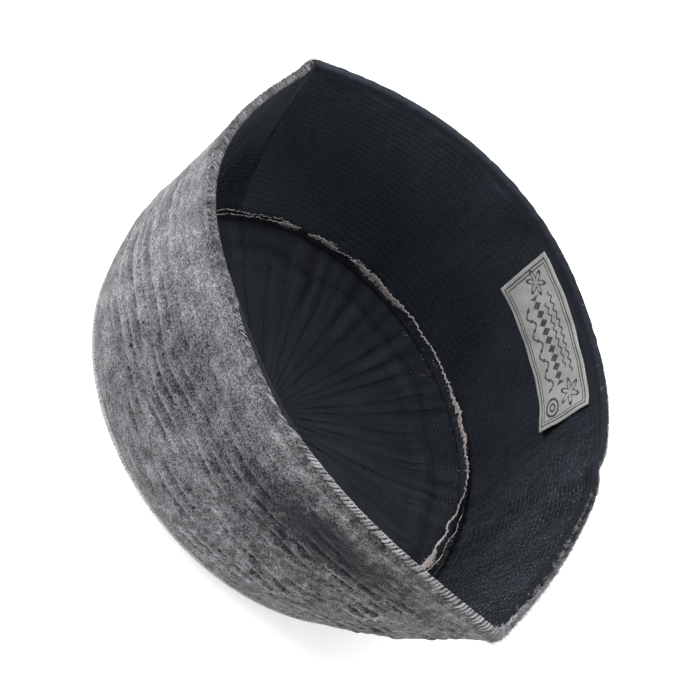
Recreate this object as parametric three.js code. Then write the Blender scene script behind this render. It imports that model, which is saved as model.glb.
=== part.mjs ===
// A quilted velvet kufi, resting on its crown with the mouth up.
// Millimetres, +Z up. The origin is on the floor, under the middle of the crown.
// X runs along the mouth, which is pinched to an almond: its two fold corners are at -X and +X.
// The near wall is the one at -Y. "Around" counts once round the cap, from the -X corner along
// the near wall to the +X corner at 0.5, and back along the far wall.
import * as THREE from 'three'
import { mergeVertices } from 'three/addons/utils/BufferGeometryUtils.js'

// Driving sizes
const gap = 0.3 // between neighbouring pieces
const velvetThick = 1.6 // velvet with its stiff backing
const liningThick = 1.1
const crownRadius = 80 // middle of the wall at its foot
const crownFlatRadius = 38 // the part of the crown that lies flat on the floor
const crownEdgeLift = 7 // how far the crown's edge stands off the floor
const mouth = { halfLength: 108, offsetX: 7.5, nearDepth: 85.5, farDepth: 74, nearSkew: -0.15, height: 87 }
const dipPower = 5 // the rim drops only close to its corners
const hookPower = 14 // and the pull on a corner's tip is closer still
const cornerSoftening = 5 // half the length of rim that a fold corner is rounded over
const wallBulge = 2.8 // the wall swells outwards, most at a third of its height

// Each fold corner: how full the near and far rims are beside it, how far its tip dips below the
// rim's middle, and how far the tip is pulled across
const corners = [
  { nearFullness: 2.65, farFullness: 2.55, dip: 11.5, pull: -12.5 },
  { nearFullness: 3.1, farFullness: 2.0, dip: 10, pull: 0 },
]

// Soft dents and swellings of the whole wall: where, how far outwards, and how far they spread
const dents = [
  { around: 0.26, up: 0.12, push: -0.9, spreadAround: 16, spreadUp: 12 },
  { around: 0.34, up: 0.15, push: 0.8, spreadAround: 14, spreadUp: 12 },
  { around: 0.42, up: 0.3, push: 0.9, spreadAround: 18, spreadUp: 16 },
  { around: 0.16, up: 0.6, push: 0.9, spreadAround: 18, spreadUp: 26 },
  { around: 0.646, up: 1, push: -1.4, spreadAround: 5, spreadUp: 10 },
  { around: 0.62, up: 0.8, push: 0.9, spreadAround: 9, spreadUp: 14 },
]

const quilting = { channels: 15, deepAtFoot: 0.7, deepAtRim: 0.25 } // rows parallel to the rim
const edging = { width: 3.8, height: 3.6, sides: 8 } // the overcast bead on the rim
const panels = { lines: 48, relief: 0.2, innerRadius: 8, outerRadius: 58 } // crown's radial stitching
const roll = { radius: 63.5, halfWidth: 4.5, height: 1.5 } // soft raised ring on the crown lining
const allowance = { height: 6.5, thick: 1.2 } // raw seam edges that stand up inside

// How far the top of the seam allowance leans inwards, by compass angle from +X
const allowanceLean = [
  { angle: 0, lean: 3.2 },
  { angle: 45, lean: 4.2 },
  { angle: 70, lean: 1.6 },
  { angle: 100, lean: 0.6 },
  { angle: 135, lean: 1.8 },
  { angle: 166, lean: 2.6 },
  { angle: 190, lean: 0.8 },
  { angle: 250, lean: 1.6 },
  { angle: 310, lean: 2.4 },
]

const label = { around: 0.753, length: 61, height: 28.5, below: 15.9, tilt: 2.3, thick: 0.8, gap: 0.4 }

// Sizes worked out from these
const wallThick = velvetThick + gap + liningThick
const wallFoot = crownEdgeLift + velvetThick + gap
const faces = {
  bandOuter: wallThick / 2,
  bandInner: wallThick / 2 - velvetThick,
  liningOuter: liningThick - wallThick / 2,
  liningInner: -wallThick / 2,
}
const footInside = crownRadius - wallThick / 2

const stations = 64 // facets round the wall
const cornerCrowding = 0.5 // how much closer they stand at the fold corners

// The rim, as the wall's middle surface meets it
function rimPoint(side, along) {
  const corner = corners[along < 0 ? 0 : 1]
  const reach = Math.abs(along)
  const fullness = side < 0 ? corner.nearFullness : corner.farFullness
  const depth = side < 0 ? mouth.nearDepth * (1 + mouth.nearSkew * along) : mouth.farDepth
  return new THREE.Vector3(
    mouth.offsetX + mouth.halfLength * along,
    side * depth * (1 - reach ** fullness) + corner.pull * reach ** hookPower,
    mouth.height - corner.dip * reach ** dipPower,
  )
}

// One side of the rim, travelled so that near and far together go once round
class RimSide extends THREE.Curve {
  constructor(side) {
    super()
    this.side = side
    this.arcLengthDivisions = 1200
  }
  getPoint(share) {
    return rimPoint(this.side, this.side * Math.cos(Math.PI * share))
  }
}

const rimSteps = 600 // equal steps along each side
const sharpRim = [-1, 1].flatMap((side) => new RimSide(side).getSpacedPoints(rimSteps).slice(0, rimSteps))

// The fold corners are rounded by averaging the rim over a short bell-shaped window
function softenRim(points) {
  const count = points.length
  const step = points[0].distanceTo(points[1])
  const half = Math.round(cornerSoftening / step)
  return points.map((point, index) => {
    const mean = new THREE.Vector3()
    let total = 0
    for (let shift = -half; shift <= half; shift++) {
      const weight = 1 + Math.cos((Math.PI * shift) / half)
      mean.addScaledVector(points[(index + shift + count) % count], weight)
      total += weight
    }
    return mean.divideScalar(total)
  })
}
const rim = softenRim(sharpRim)

function rimAt(around) {
  const place = THREE.MathUtils.euclideanModulo(around, 1) * rim.length
  const low = Math.floor(place)
  return rim[low % rim.length].clone().lerp(rim[(low + 1) % rim.length], place - low)
}

function footAt(around) {
  const angle = Math.PI + 2 * Math.PI * around
  return new THREE.Vector3(crownRadius * Math.cos(angle), crownRadius * Math.sin(angle), wallFoot)
}

const rimLength = rim.reduce((sum, point, index) => sum + point.distanceTo(rim[(index + 1) % rim.length]), 0)

function swelling(around, up) {
  let push = wallBulge * 6.75 * up * (1 - up) ** 2
  for (const dent of dents) {
    const aside = (THREE.MathUtils.euclideanModulo(around - dent.around + 0.5, 1) - 0.5) * rimLength
    const above = (up - dent.up) * (mouth.height - wallFoot)
    push += dent.push * Math.exp(-((aside / dent.spreadAround) ** 2) - (above / dent.spreadUp) ** 2)
  }
  return push
}

// A point of the wall: straight from foot to rim, then moved level and outwards
function wallPoint(around, up, outwards) {
  const reach = 0.002
  const along = (share) => footAt(share).lerp(rimAt(share), up)
  const tangent = along(around + reach).sub(along(around - reach))
  const outward = new THREE.Vector3(tangent.y, -tangent.x, 0).normalize()
  return along(around).addScaledVector(outward, outwards + swelling(around, up))
}

// The crown's underside: flat in the middle, rising to the seam
function crownRise(radius) {
  const share = Math.max(0, (radius - crownFlatRadius) / (crownRadius - crownFlatRadius))
  return crownEdgeLift * share ** 2
}

// Skins a grid of points: rows run round the cap, and each row is a section going up its outer face.
// A section that closes on itself makes a ring, one that starts and ends on the axis makes a disc,
// and rows that stop short of a whole turn leave two open ends.
function skin(rows, { wholeTurn = true, closedSection = true } = {}) {
  const width = rows[0].length
  const triangles = []
  for (let row = 0; row < rows.length - (wholeTurn ? 0 : 1); row++) {
    for (let point = 0; point < width - (closedSection ? 0 : 1); point++) {
      const here = row * width
      const next = ((row + 1) % rows.length) * width
      const above = (point + 1) % width
      triangles.push([here + point, next + point, next + above])
      triangles.push([here + point, next + above, here + above])
    }
  }
  return triangles
}

const ring = (rows) => closedGeometry(rows, skin(rows))
const disc = (rows) => closedGeometry(rows, skin(rows, { closedSection: false }))

// Merges points that coincide and drops the triangles that this flattens
function closedGeometry(rows, triangles) {
  const positions = rows.flatMap((row) => row.flatMap((point) => point.toArray()))
  const loose = new THREE.BufferGeometry()
  loose.setAttribute('position', new THREE.Float32BufferAttribute(positions, 3))
  loose.setIndex(triangles.flat())
  const merged = mergeVertices(loose, 1e-4)
  const index = merged.getIndex().array
  const kept = []
  for (let first = 0; first < index.length; first += 3) {
    const [a, b, c] = index.slice(first, first + 3)
    if (a !== b && b !== c && c !== a) kept.push(a, b, c)
  }
  merged.setIndex(kept)
  merged.computeVertexNormals()
  return merged
}

// Shares of the way round at which the wall has its stations, closer together at the corners
const stationShares = Array.from({ length: stations }, (_, index) => {
  const turn = index / stations
  return turn - (cornerCrowding * Math.sin(4 * Math.PI * turn)) / (4 * Math.PI)
})

const evenSteps = (from, to, count) =>
  Array.from({ length: count + 1 }, (_, index) => THREE.MathUtils.lerp(from, to, index / count))

function polar(angle, radius, height) {
  return new THREE.Vector3(radius * Math.cos(angle), radius * Math.sin(angle), height)
}

// The velvet wall: puffed channels outside, parted by the stitch lines, and a plain inside
function bandGeometry() {
  const rows = stationShares.map((around) => {
    const outside = evenSteps(0, 1, 2 * quilting.channels).map((up, index) => {
      const deep = THREE.MathUtils.lerp(quilting.deepAtFoot, quilting.deepAtRim, up)
      const puff = index % 2 === 0 ? -deep / 2 : deep / 2
      return wallPoint(around, up, faces.bandOuter + puff)
    })
    const inside = evenSteps(1, 0, 4).map((up) => wallPoint(around, up, faces.bandInner))
    return [...outside, ...inside]
  })
  return ring(rows)
}

function bandLiningGeometry() {
  const rows = stationShares.map((around) => [
    ...evenSteps(0, 1, 4).map((up) => wallPoint(around, up, faces.liningOuter)),
    ...evenSteps(1, 0, 6).map((up) => wallPoint(around, up, faces.liningInner)),
  ])
  return ring(rows)
}

// The crown's velvet disc, with its underside's edge rounded off
function crownGeometry() {
  const radius = crownRadius + wallThick / 2
  const edgeRound = 0.9
  const under = [0, crownFlatRadius, 52, 66, radius - edgeRound]
  const over = [radius, 66, 52, crownFlatRadius, 0]
  const section = [
    ...under.map((r) => [r, crownRise(Math.min(r, crownRadius))]),
    [radius, crownEdgeLift + edgeRound],
    ...over.map((r) => [r, crownRise(Math.min(r, crownRadius)) + velvetThick]),
  ]
  const rows = stationShares.map((around) => {
    const angle = Math.PI + 2 * Math.PI * around
    return section.map(([r, height]) => polar(angle, r, height))
  })
  return disc(rows)
}

// The crown's lining: panels between radial stitch lines, then the soft raised roll and a flat border
function crownLiningGeometry() {
  const radius = footInside - 2 * gap
  const under = velvetThick + gap
  const top = under + liningThick
  const underside = [0, crownFlatRadius, 52, 66, radius].map((r) => [r, crownRise(r) + under, 0])
  const topside = [
    [radius, crownRise(radius) + top, 0],
    [roll.radius + roll.halfWidth, crownRise(roll.radius + roll.halfWidth) + top, 0],
    [roll.radius, crownRise(roll.radius) + top + roll.height, 0],
    [panels.outerRadius, crownRise(panels.outerRadius) + top, 1],
    [crownFlatRadius, top, 1],
    [panels.innerRadius, top, 1],
    [0, top, 0],
  ]
  const rows = evenSteps(0, 2 * Math.PI, 2 * panels.lines).slice(0, -1).map((angle, index) => {
    const puff = index % 2 === 0 ? -panels.relief : panels.relief
    return [...underside, ...topside].map(([r, height, ribbed]) => polar(angle, r, height + ribbed * puff))
  })
  return disc(rows)
}

// Lean of the allowance at an angle, eased from each row of the table to the next
function leanAt(degrees) {
  const turn = THREE.MathUtils.euclideanModulo(degrees, 360)
  const last = allowanceLean.findLastIndex((row) => row.angle <= turn)
  const from = allowanceLean[last]
  const to = allowanceLean[(last + 1) % allowanceLean.length]
  const span = THREE.MathUtils.euclideanModulo(to.angle - from.angle, 360)
  return THREE.MathUtils.lerp(from.lean, to.lean, THREE.MathUtils.smoothstep(turn - from.angle, 0, span))
}

// The raw seam edges: an upright strip against the wall's lining, leaning in more here and there
function allowanceGeometry() {
  const outer = footInside - 2 * gap
  const inner = outer - allowance.thick
  const base = velvetThick + liningThick + 2 * gap
  const rows = evenSteps(0, 2 * Math.PI, stations).slice(0, -1).map((angle) => {
    const lean = leanAt(THREE.MathUtils.radToDeg(angle))
    const at = (radius, up) => {
      const start = crownRise(footInside) + base
      const height = up > 0 ? start + allowance.height * up : crownRise(radius) + base
      return polar(angle, radius - lean * up ** 1.5, height)
    }
    return [at(outer, 0), at(outer, 0.5), at(outer, 1), at(inner, 1), at(inner, 0.5), at(inner, 0)]
  })
  return ring(rows)
}

// The overcast edge: a bead that sits on both walls' tops
function edgingGeometry() {
  const rows = stationShares.map((around) => {
    const middle = wallPoint(around, 1, 0)
    const outward = wallPoint(around, 1, 1).sub(middle)
    return Array.from({ length: edging.sides }, (_, index) => {
      const turn = ((index - 1.5) * 2 * Math.PI) / edging.sides
      const level = edging.height / 2 / Math.cos(Math.PI / edging.sides)
      const point = middle.clone().addScaledVector(outward, (edging.width / 2) * Math.cos(turn))
      point.z += gap + edging.height / 2 + level * Math.sin(turn)
      return point
    })
  })
  return ring(rows)
}

// The label: a thin patch on the far lining, its long side along the rim, a little askew
function labelGeometry() {
  const wallHeight = mouth.height - wallFoot
  const tilt = THREE.MathUtils.degToRad(label.tilt)
  const back = faces.liningInner - label.gap
  const front = back - label.thick
  const rows = evenSteps(-label.length / 2, label.length / 2, 10).map((alongLabel) => {
    const at = (across, outwards) => {
      const aside = alongLabel * Math.cos(tilt) - across * Math.sin(tilt)
      const above = across * Math.cos(tilt) + alongLabel * Math.sin(tilt)
      return wallPoint(label.around + aside / rimLength, 1 - (label.below - above) / wallHeight, outwards)
    }
    const levels = evenSteps(-label.height / 2, label.height / 2, 4)
    return [...levels.map((level) => at(level, back)), ...levels.reverse().map((level) => at(level, front))]
  })
  return strip(rows)
}

// A strip of flat sections, each with as many points in front as behind, with a cap on each end
function strip(rows) {
  const width = rows[0].length
  const triangles = skin(rows, { wholeTurn: false })
  const last = (rows.length - 1) * width
  for (let level = 0; level + 1 < width / 2; level++) {
    const behind = width - 1 - level
    triangles.push([level, level + 1, behind - 1])
    triangles.push([level, behind - 1, behind])
    triangles.push([last + level, last + behind - 1, last + level + 1])
    triangles.push([last + level, last + behind, last + behind - 1])
  }
  return closedGeometry(rows, triangles)
}

const velvet = { color: 0x6f6d71, roughness: 0.85, metalness: 0 }
const darkCloth = { color: 0x1a1f27, roughness: 0.9, metalness: 0 }
const rawEdge = { color: 0xb8adac, roughness: 0.95, metalness: 0 }
const greyThread = { color: 0x7b797d, roughness: 0.8, metalness: 0 }
const labelCloth = { color: 0xc9c6bf, roughness: 0.8, metalness: 0 }
const pieces = [
  { name: 'crown', geometry: crownGeometry(), look: velvet },
  { name: 'band', geometry: bandGeometry(), look: velvet },
  { name: 'crown_lining', geometry: crownLiningGeometry(), look: darkCloth },
  { name: 'band_lining', geometry: bandLiningGeometry(), look: darkCloth },
  { name: 'seam_allowance', geometry: allowanceGeometry(), look: rawEdge },
  { name: 'rim_edging', geometry: edgingGeometry(), look: greyThread },
  { name: 'label', geometry: labelGeometry(), look: labelCloth },
]

const kufi = new THREE.Group()
kufi.name = 'kufi'
for (const { name, geometry, look } of pieces) {
  const mesh = new THREE.Mesh(geometry, new THREE.MeshStandardMaterial(look))
  mesh.name = name
  kufi.add(mesh)
}

export default kufi
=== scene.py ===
import math

import bmesh
import bpy
import numpy as np
from mathutils import Matrix

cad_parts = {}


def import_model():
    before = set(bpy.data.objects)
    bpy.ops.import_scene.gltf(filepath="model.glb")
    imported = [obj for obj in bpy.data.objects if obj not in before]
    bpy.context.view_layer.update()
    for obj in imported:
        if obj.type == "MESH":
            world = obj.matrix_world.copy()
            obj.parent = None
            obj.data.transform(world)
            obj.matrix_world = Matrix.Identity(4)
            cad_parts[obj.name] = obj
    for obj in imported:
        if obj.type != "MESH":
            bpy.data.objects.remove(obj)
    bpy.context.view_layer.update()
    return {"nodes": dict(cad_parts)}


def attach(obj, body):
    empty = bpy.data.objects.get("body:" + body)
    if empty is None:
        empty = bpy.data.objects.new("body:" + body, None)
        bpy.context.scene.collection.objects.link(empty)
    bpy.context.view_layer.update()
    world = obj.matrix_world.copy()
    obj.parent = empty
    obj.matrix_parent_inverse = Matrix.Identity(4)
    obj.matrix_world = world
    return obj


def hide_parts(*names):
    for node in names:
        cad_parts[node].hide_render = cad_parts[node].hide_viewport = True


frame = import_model()
print("frame loaded:", len(frame["nodes"]), "nodes")

# the cap's own shape, the same numbers as the frame was made from
cap = {
    "crownRadius": 80.0,
    "flatRadius": 38.0,
    "edgeLift": 7.0,
    "velvetThick": 1.6,
    "liningThick": 1.1,
    "gap": 0.3,
    "mouthHalfLength": 108.0,
    "mouthOffset": 7.5,
    "mouthHeight": 87.0,
    "nearDepth": 85.5,
    "farDepth": 74.0,
    "nearSkew": -0.15,
    "nearFullness": (2.65, 3.1),  # beside the -X and the +X corner
    "farFullness": (2.55, 2.0),
    "cornerDip": (11.5, 10.0),
    "cornerPull": (-12.5, 0.0),
    "cornerSoftening": 5.0,
    "bulge": 2.8,
}

# soft dents: place around, place up, push outwards, spread around, spread up
dents = [
    (0.26, 0.12, -0.9, 16, 12),
    (0.34, 0.15, 0.8, 14, 12),
    (0.42, 0.30, 0.9, 18, 16),
    (0.16, 0.60, 0.9, 18, 26),
    (0.646, 1.0, -1.4, 5, 10),
    (0.62, 0.80, 0.9, 9, 14),
]

wallThick = cap["velvetThick"] + cap["gap"] + cap["liningThick"]
wallFoot = cap["edgeLift"] + cap["velvetThick"] + cap["gap"]
wallHeight = cap["mouthHeight"] - wallFoot
bandOuter = wallThick / 2
bandInner = bandOuter - cap["velvetThick"]
liningInner = -wallThick / 2
liningOuter = liningInner + cap["liningThick"]
footInside = cap["crownRadius"] - wallThick / 2
belowRim = 0.985  # the height on the wall where the velvet meets the rim's bead
far = 1000.0  # beyond every place on the cap
always = (-far - 1, -far, far, far + 1)


def smoothStep(low, high, value):
    # eases from 0 at low to 1 at high
    share = np.clip((value - low) / (high - low), 0, 1)
    return share * share * (3 - 2 * share)


def between(value, places):
    # 1 between the two middle places, easing to 0 at the outer ones
    return smoothStep(places[0], places[1], value) * smoothStep(places[3], places[2], value)


def after(start, full):
    # places for between that stay open upwards
    return (start, full, far, far + 1)


def before(full, end):
    # and that stay open downwards
    return (-far - 1, -far, full, end)


def tones(first, second, table):
    # each row of the table adds its amount between its places in the first and in the second value
    return sum(amount * between(first, ones) * between(second, others) for amount, ones, others in table)


def unit(vectors):
    return vectors / np.linalg.norm(vectors, axis=-1, keepdims=True)


def onCircle(radius, angle, height):
    return np.stack(np.broadcast_arrays(radius * np.cos(angle), radius * np.sin(angle), height), axis=-1)


def rimSide(side, steps=600):
    # half the rim: x runs the mouth's length, y is depth times one less reach to the fullness, and the
    # height drops with the fifth power of the reach; resampled to equal steps along its length
    s = side * np.cos(np.pi * np.linspace(0, 1, 2401))
    reach = np.abs(s)
    left = s < 0
    full = cap["nearFullness"] if side < 0 else cap["farFullness"]
    depth = cap["nearDepth"] * (1 + cap["nearSkew"] * s) if side < 0 else cap["farDepth"] + 0 * s
    pull = np.where(left, *cap["cornerPull"])
    dip = np.where(left, *cap["cornerDip"])
    curve = np.stack(
        [
            cap["mouthOffset"] + cap["mouthHalfLength"] * s,
            side * depth * (1 - reach ** np.where(left, *full)) + pull * reach**14,
            cap["mouthHeight"] - dip * reach**5,
        ],
        axis=1,
    )
    travelled = np.concatenate([[0], np.cumsum(np.linalg.norm(np.diff(curve, axis=0), axis=1))])
    even = np.linspace(0, travelled[-1], steps + 1)[:-1]
    return np.stack([np.interp(even, travelled, curve[:, axis]) for axis in range(3)], axis=1)


def softRim():
    # both halves, then a bell-shaped moving average that rounds the two fold corners
    loop = np.vstack([rimSide(-1), rimSide(1)])
    half = round(cap["cornerSoftening"] / np.linalg.norm(loop[1] - loop[0]))
    weights = 1 + np.cos(np.pi * np.arange(-half, half + 1) / half)
    weights /= weights.sum()
    return sum(weight * np.roll(loop, half - place, axis=0) for place, weight in enumerate(weights))


rim = softRim()
rimLength = np.linalg.norm(np.roll(rim, -1, axis=0) - rim, axis=1).sum()
rimShares = np.arange(len(rim)) / len(rim)


def wallLine(around, up):
    # straight from the crown's edge to the rim
    foot = onCircle(cap["crownRadius"], np.pi + 2 * np.pi * around, wallFoot)
    top = np.stack([np.interp(around, rimShares, rim[:, axis], period=1) for axis in range(3)], axis=-1)
    return foot + (top - foot) * up[..., None]


def patches(around, up, table):
    # bell-shaped patches on the wall: place around, place up, amount, spread around, spread up
    total = 0
    for place, level, amount, spreadAround, spreadUp in table:
        aside = ((around - place + 0.5) % 1 - 0.5) * rimLength
        above = (up - level) * wallHeight
        total = total + amount * np.exp(-((aside / spreadAround) ** 2) - (above / spreadUp) ** 2)
    return total


def wallSwelling(around, up):
    # a soft belly, most at a third of the height, plus the dents
    return cap["bulge"] * 6.75 * up * (1 - up) ** 2 + patches(around, up, dents)


def wallPoint(around, up, outwards):
    # the wall's middle surface, moved level along its outward direction
    around, up, outwards = np.broadcast_arrays(around, up, outwards)
    tangent = wallLine(around + 0.002, up) - wallLine(around - 0.002, up)
    outward = unit(np.stack([tangent[..., 1], -tangent[..., 0], 0 * up], axis=-1))
    return wallLine(around, up) + outward * (outwards + wallSwelling(around, up))[..., None]


def crownRise(radius):
    # flat in the middle, then rising with the square of the distance to the seam
    share = np.maximum(0, (radius - cap["flatRadius"]) / (cap["crownRadius"] - cap["flatRadius"]))
    return cap["edgeLift"] * share**2


def stationShares(count, crowding=0.5):
    # stations round the wall, closer together at the two fold corners
    turn = np.arange(count) / count
    return turn - crowding * np.sin(4 * np.pi * turn) / (4 * np.pi)


def ripples(around, up, seed, turns=(3, 20), climbs=3.0, count=24):
    # a sum of cosines with random whole turns round the cap, so it closes on itself, and random climbs
    rng = np.random.default_rng(seed)
    total = 0
    for _ in range(count):
        turn = rng.integers(turns[0], turns[1] + 1)
        climb = rng.uniform(-climbs, climbs)
        total = total + np.cos(2 * np.pi * (turn * around + climb * up + rng.random()))
    return total / math.sqrt(count / 2)


# meshes
def addPiece(name, points, faces, material, slot, node, uv=None, attributes=None, weld=False):
    mesh = bpy.data.meshes.new(name)
    mesh.from_pydata((np.asarray(points).reshape(-1, 3) / 1000).tolist(), [], faces)
    if uv is not None:
        layer = mesh.uv_layers.new(name="clothUV")
        layer.data.foreach_set("uv", np.asarray(uv, dtype=np.float32).ravel())
    for label, values in (attributes or {}).items():
        layer = mesh.attributes.new(label, "FLOAT", "POINT")
        layer.data.foreach_set("value", np.asarray(values, dtype=np.float32).ravel())
    if weld:
        edit = bmesh.new()
        edit.from_mesh(mesh)
        bmesh.ops.remove_doubles(edit, verts=edit.verts, dist=1e-6)
        edit.to_mesh(mesh)
        edit.free()
    mesh.shade_smooth()
    mesh.materials.append(material)
    piece = bpy.data.objects.new(name, mesh)
    bpy.context.scene.collection.objects.link(piece)
    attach(piece, "root")
    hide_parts(node)
    triangles = sum(len(face.vertices) - 2 for face in mesh.polygons)
    print(f"{name}: {triangles} triangles")


def gridFaces(stations, steps, closeAround=True, closeAcross=True):
    # each quad joins a point, the next station, the next step there and the next step here
    i = np.arange(stations if closeAround else stations - 1)[:, None]
    j = np.arange(steps if closeAcross else steps - 1)[None, :]
    here, there = i * steps, (i + 1) % stations * steps
    onward = (j + 1) % steps
    return np.stack([here + j, there + j, there + onward, here + onward], axis=-1).reshape(-1, 4)


def addGrid(name, points, material, slot, node, closeAcross=True, **more):
    # a piece from points[station, step], closed round the cap
    faces = gridFaces(*points.shape[:2], closeAcross=closeAcross).tolist()
    addPiece(name, points, faces, material, slot, node, **more)


def gridUv(alongs, acrosses):
    # the quads' corners in metres along and across, one value more each way than the grid has quads
    places = np.stack(np.meshgrid(alongs, acrosses, indexing="ij"), axis=-1) / 1000
    return np.stack([places[:-1, :-1], places[1:, :-1], places[1:, 1:], places[:-1, 1:]], axis=2)


def repeated(faces, count, size):
    # the same faces for each of count like bodies of size points
    faces = np.asarray(faces)
    return (faces + size * np.arange(count)[:, None, None]).reshape(-1, faces.shape[1]).tolist()


def tubes(paths, sideways, radii, sides=5):
    # paths[k, step] with a round section in the plane of the sideways direction and its cross product with
    # the path; returns points and faces, each end closed by its own polygon
    forward = unit(np.gradient(paths, axis=1))
    side = unit(sideways - forward * (sideways * forward).sum(axis=-1, keepdims=True))
    other = np.cross(side, forward)
    turn = 2 * np.pi * np.arange(sides) / sides
    ring = side[:, :, None] * np.cos(turn)[:, None] + other[:, :, None] * np.sin(turn)[:, None]
    points = paths[:, :, None] + ring * radii[:, :, None, None]
    count, steps = paths.shape[:2]
    faces = repeated(gridFaces(steps, sides, closeAround=False), count, steps * sides)
    first = np.arange(count)[:, None] * steps * sides + np.arange(sides)
    faces += first[:, ::-1].tolist() + (first + (steps - 1) * sides).tolist()
    return points, faces


def smallStitches(centres, along, outward, length, width, height):
    # each stitch is a stretched octahedron: two tips along the row, two sides, a top and a foot
    across = np.cross(outward, along)
    tips = [
        centres - along * length[:, None] / 2,
        centres - across * width / 2,
        centres + along * length[:, None] / 2,
        centres + across * width / 2,
        centres + outward * height,
        centres - outward * height,
    ]
    sides = [(0, 1, 4), (1, 2, 4), (2, 3, 4), (3, 0, 4), (1, 0, 5), (2, 1, 5), (3, 2, 5), (0, 3, 5)]
    return np.stack(tips, axis=1), repeated(sides, len(centres), 6)


# small helpers for node materials
def addNode(tree, kind, **settings):
    made = tree.nodes.new(kind)
    for key, value in settings.items():
        if hasattr(made, key):
            setattr(made, key, value)
        else:
            made.inputs[key.replace("_", " ")].default_value = value
    return made


def plug(tree, source, socket):
    # a socket is linked, a number is set
    if isinstance(source, bpy.types.NodeSocket):
        tree.links.new(source, socket)
    else:
        socket.default_value = source


def maths(tree, operation, a, b=0.0, c=0.0):
    made = addNode(tree, "ShaderNodeMath", operation=operation)
    for source, socket in zip((a, b, c), made.inputs):
        plug(tree, source, socket)
    return made.outputs[0]


def plus(tree, total, *others):
    for other in others:
        total = maths(tree, "ADD", total, other)
    return total


def times(tree, product, *others):
    for other in others:
        product = maths(tree, "MULTIPLY", product, other)
    return product


def minus(tree, first, second):
    return maths(tree, "SUBTRACT", first, second)


def attribute(tree, name):
    return addNode(tree, "ShaderNodeAttribute", attribute_name=name).outputs["Fac"]


def objectPlace(tree):
    return addNode(tree, "ShaderNodeTexCoord").outputs["Object"]


def clothPlace(tree):
    # the piece's own map, in metres along and across the cloth
    return addNode(tree, "ShaderNodeTexCoord").outputs["UV"]


def splitUp(tree, vector):
    made = addNode(tree, "ShaderNodeSeparateXYZ")
    tree.links.new(vector, made.inputs[0])
    return made.outputs


def noise(tree, coordinates, perMetre, detail=2.0, rough=0.5):
    made = addNode(tree, "ShaderNodeTexNoise", Scale=perMetre, Detail=detail, Roughness=rough)
    tree.links.new(coordinates, made.inputs["Vector"])
    return made.outputs["Fac"]


def drawnNoise(tree, scale, perMetre, rough):
    # noise on the cloth's own map, drawn out along or across it
    drawn = addNode(tree, "ShaderNodeMapping", Scale=scale)
    tree.links.new(clothPlace(tree), drawn.inputs["Vector"])
    return noise(tree, drawn.outputs["Vector"], perMetre, detail=3, rough=rough)


def stretch(tree, value, low, high, toLow=0.0, toHigh=1.0):
    made = addNode(tree, "ShaderNodeMapRange")
    for source, socket in zip((value, low, high, toLow, toHigh), made.inputs):
        plug(tree, source, socket)
    return made.outputs[0]


def swing(tree, tone, spread, low=0.3, high=0.7):
    # the tone as a lighter and darker swing about nothing
    return stretch(tree, tone, low, high, -spread / 2, spread / 2)


def blend(tree, share, first, second):
    made = addNode(tree, "ShaderNodeMix", data_type="RGBA")
    plug(tree, share, made.inputs[0])
    plug(tree, first, made.inputs[6])
    plug(tree, second, made.inputs[7])
    return made.outputs[2]


def clothMaterial(name, roughness, sheen=0.0, sheenRoughness=0.5, sheenTint=(1, 1, 1), specular=0.3):
    material = bpy.data.materials.new(name)
    material.use_nodes = True
    tree = material.node_tree
    shader = tree.nodes["Principled BSDF"]
    shader.inputs["Roughness"].default_value = roughness
    shader.inputs["Sheen Weight"].default_value = sheen
    shader.inputs["Sheen Roughness"].default_value = sheenRoughness
    shader.inputs["Sheen Tint"].default_value = (*sheenTint, 1)
    shader.inputs["Specular IOR Level"].default_value = specular
    return material, tree, shader


def finishCloth(tree, shader, colour, heights):
    # the colour, and a stack of bumps: each height comes with its depth in metres
    tree.links.new(colour, shader.inputs["Base Color"])
    normal = None
    for height, depth in heights:
        bump = addNode(tree, "ShaderNodeBump", Strength=1.0, Distance=depth)
        tree.links.new(height, bump.inputs["Height"])
        if normal is not None:
            tree.links.new(normal, bump.inputs["Normal"])
        normal = bump.outputs["Normal"]
    tree.links.new(normal, shader.inputs["Normal"])


# velvet
velvetLook = {
    "deep": (0.0125, 0.0130, 0.0165, 1),
    "middle": (0.138, 0.1355, 0.1445, 1),
    "light": (0.44, 0.432, 0.450, 1),
    "tuftsPerMetre": 2500,
    "napPerMetre": 1500,
    "blotchPerMetre": 300,
    "streakPerMetre": 330,
    "streakLength": 5.0,  # times its width
    "tuftShade": 0.46,
    "napShade": 0.14,
    "pepperShade": 0.24,  # dark flecks between the tufts
    "blotchShade": 0.14,
    "streakShade": 0.12,
    "tuftDepth": 0.00022,
    "napDepth": 0.0003,
    "blotchDepth": 0.0005,
    "streakDepth": 0.0004,
    "stitchPitch": 3.1,
    "stitchShade": 0.42,
    "prickDepth": 0.0005,
    "prickedPerMetre": 75,  # how often the rows change between pricked and smooth
    "pitchWander": 0.004,
    "wanderPerMetre": 120,
    "holeShade": 0.62,
    "holeFray": 0.0006,
}


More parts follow.
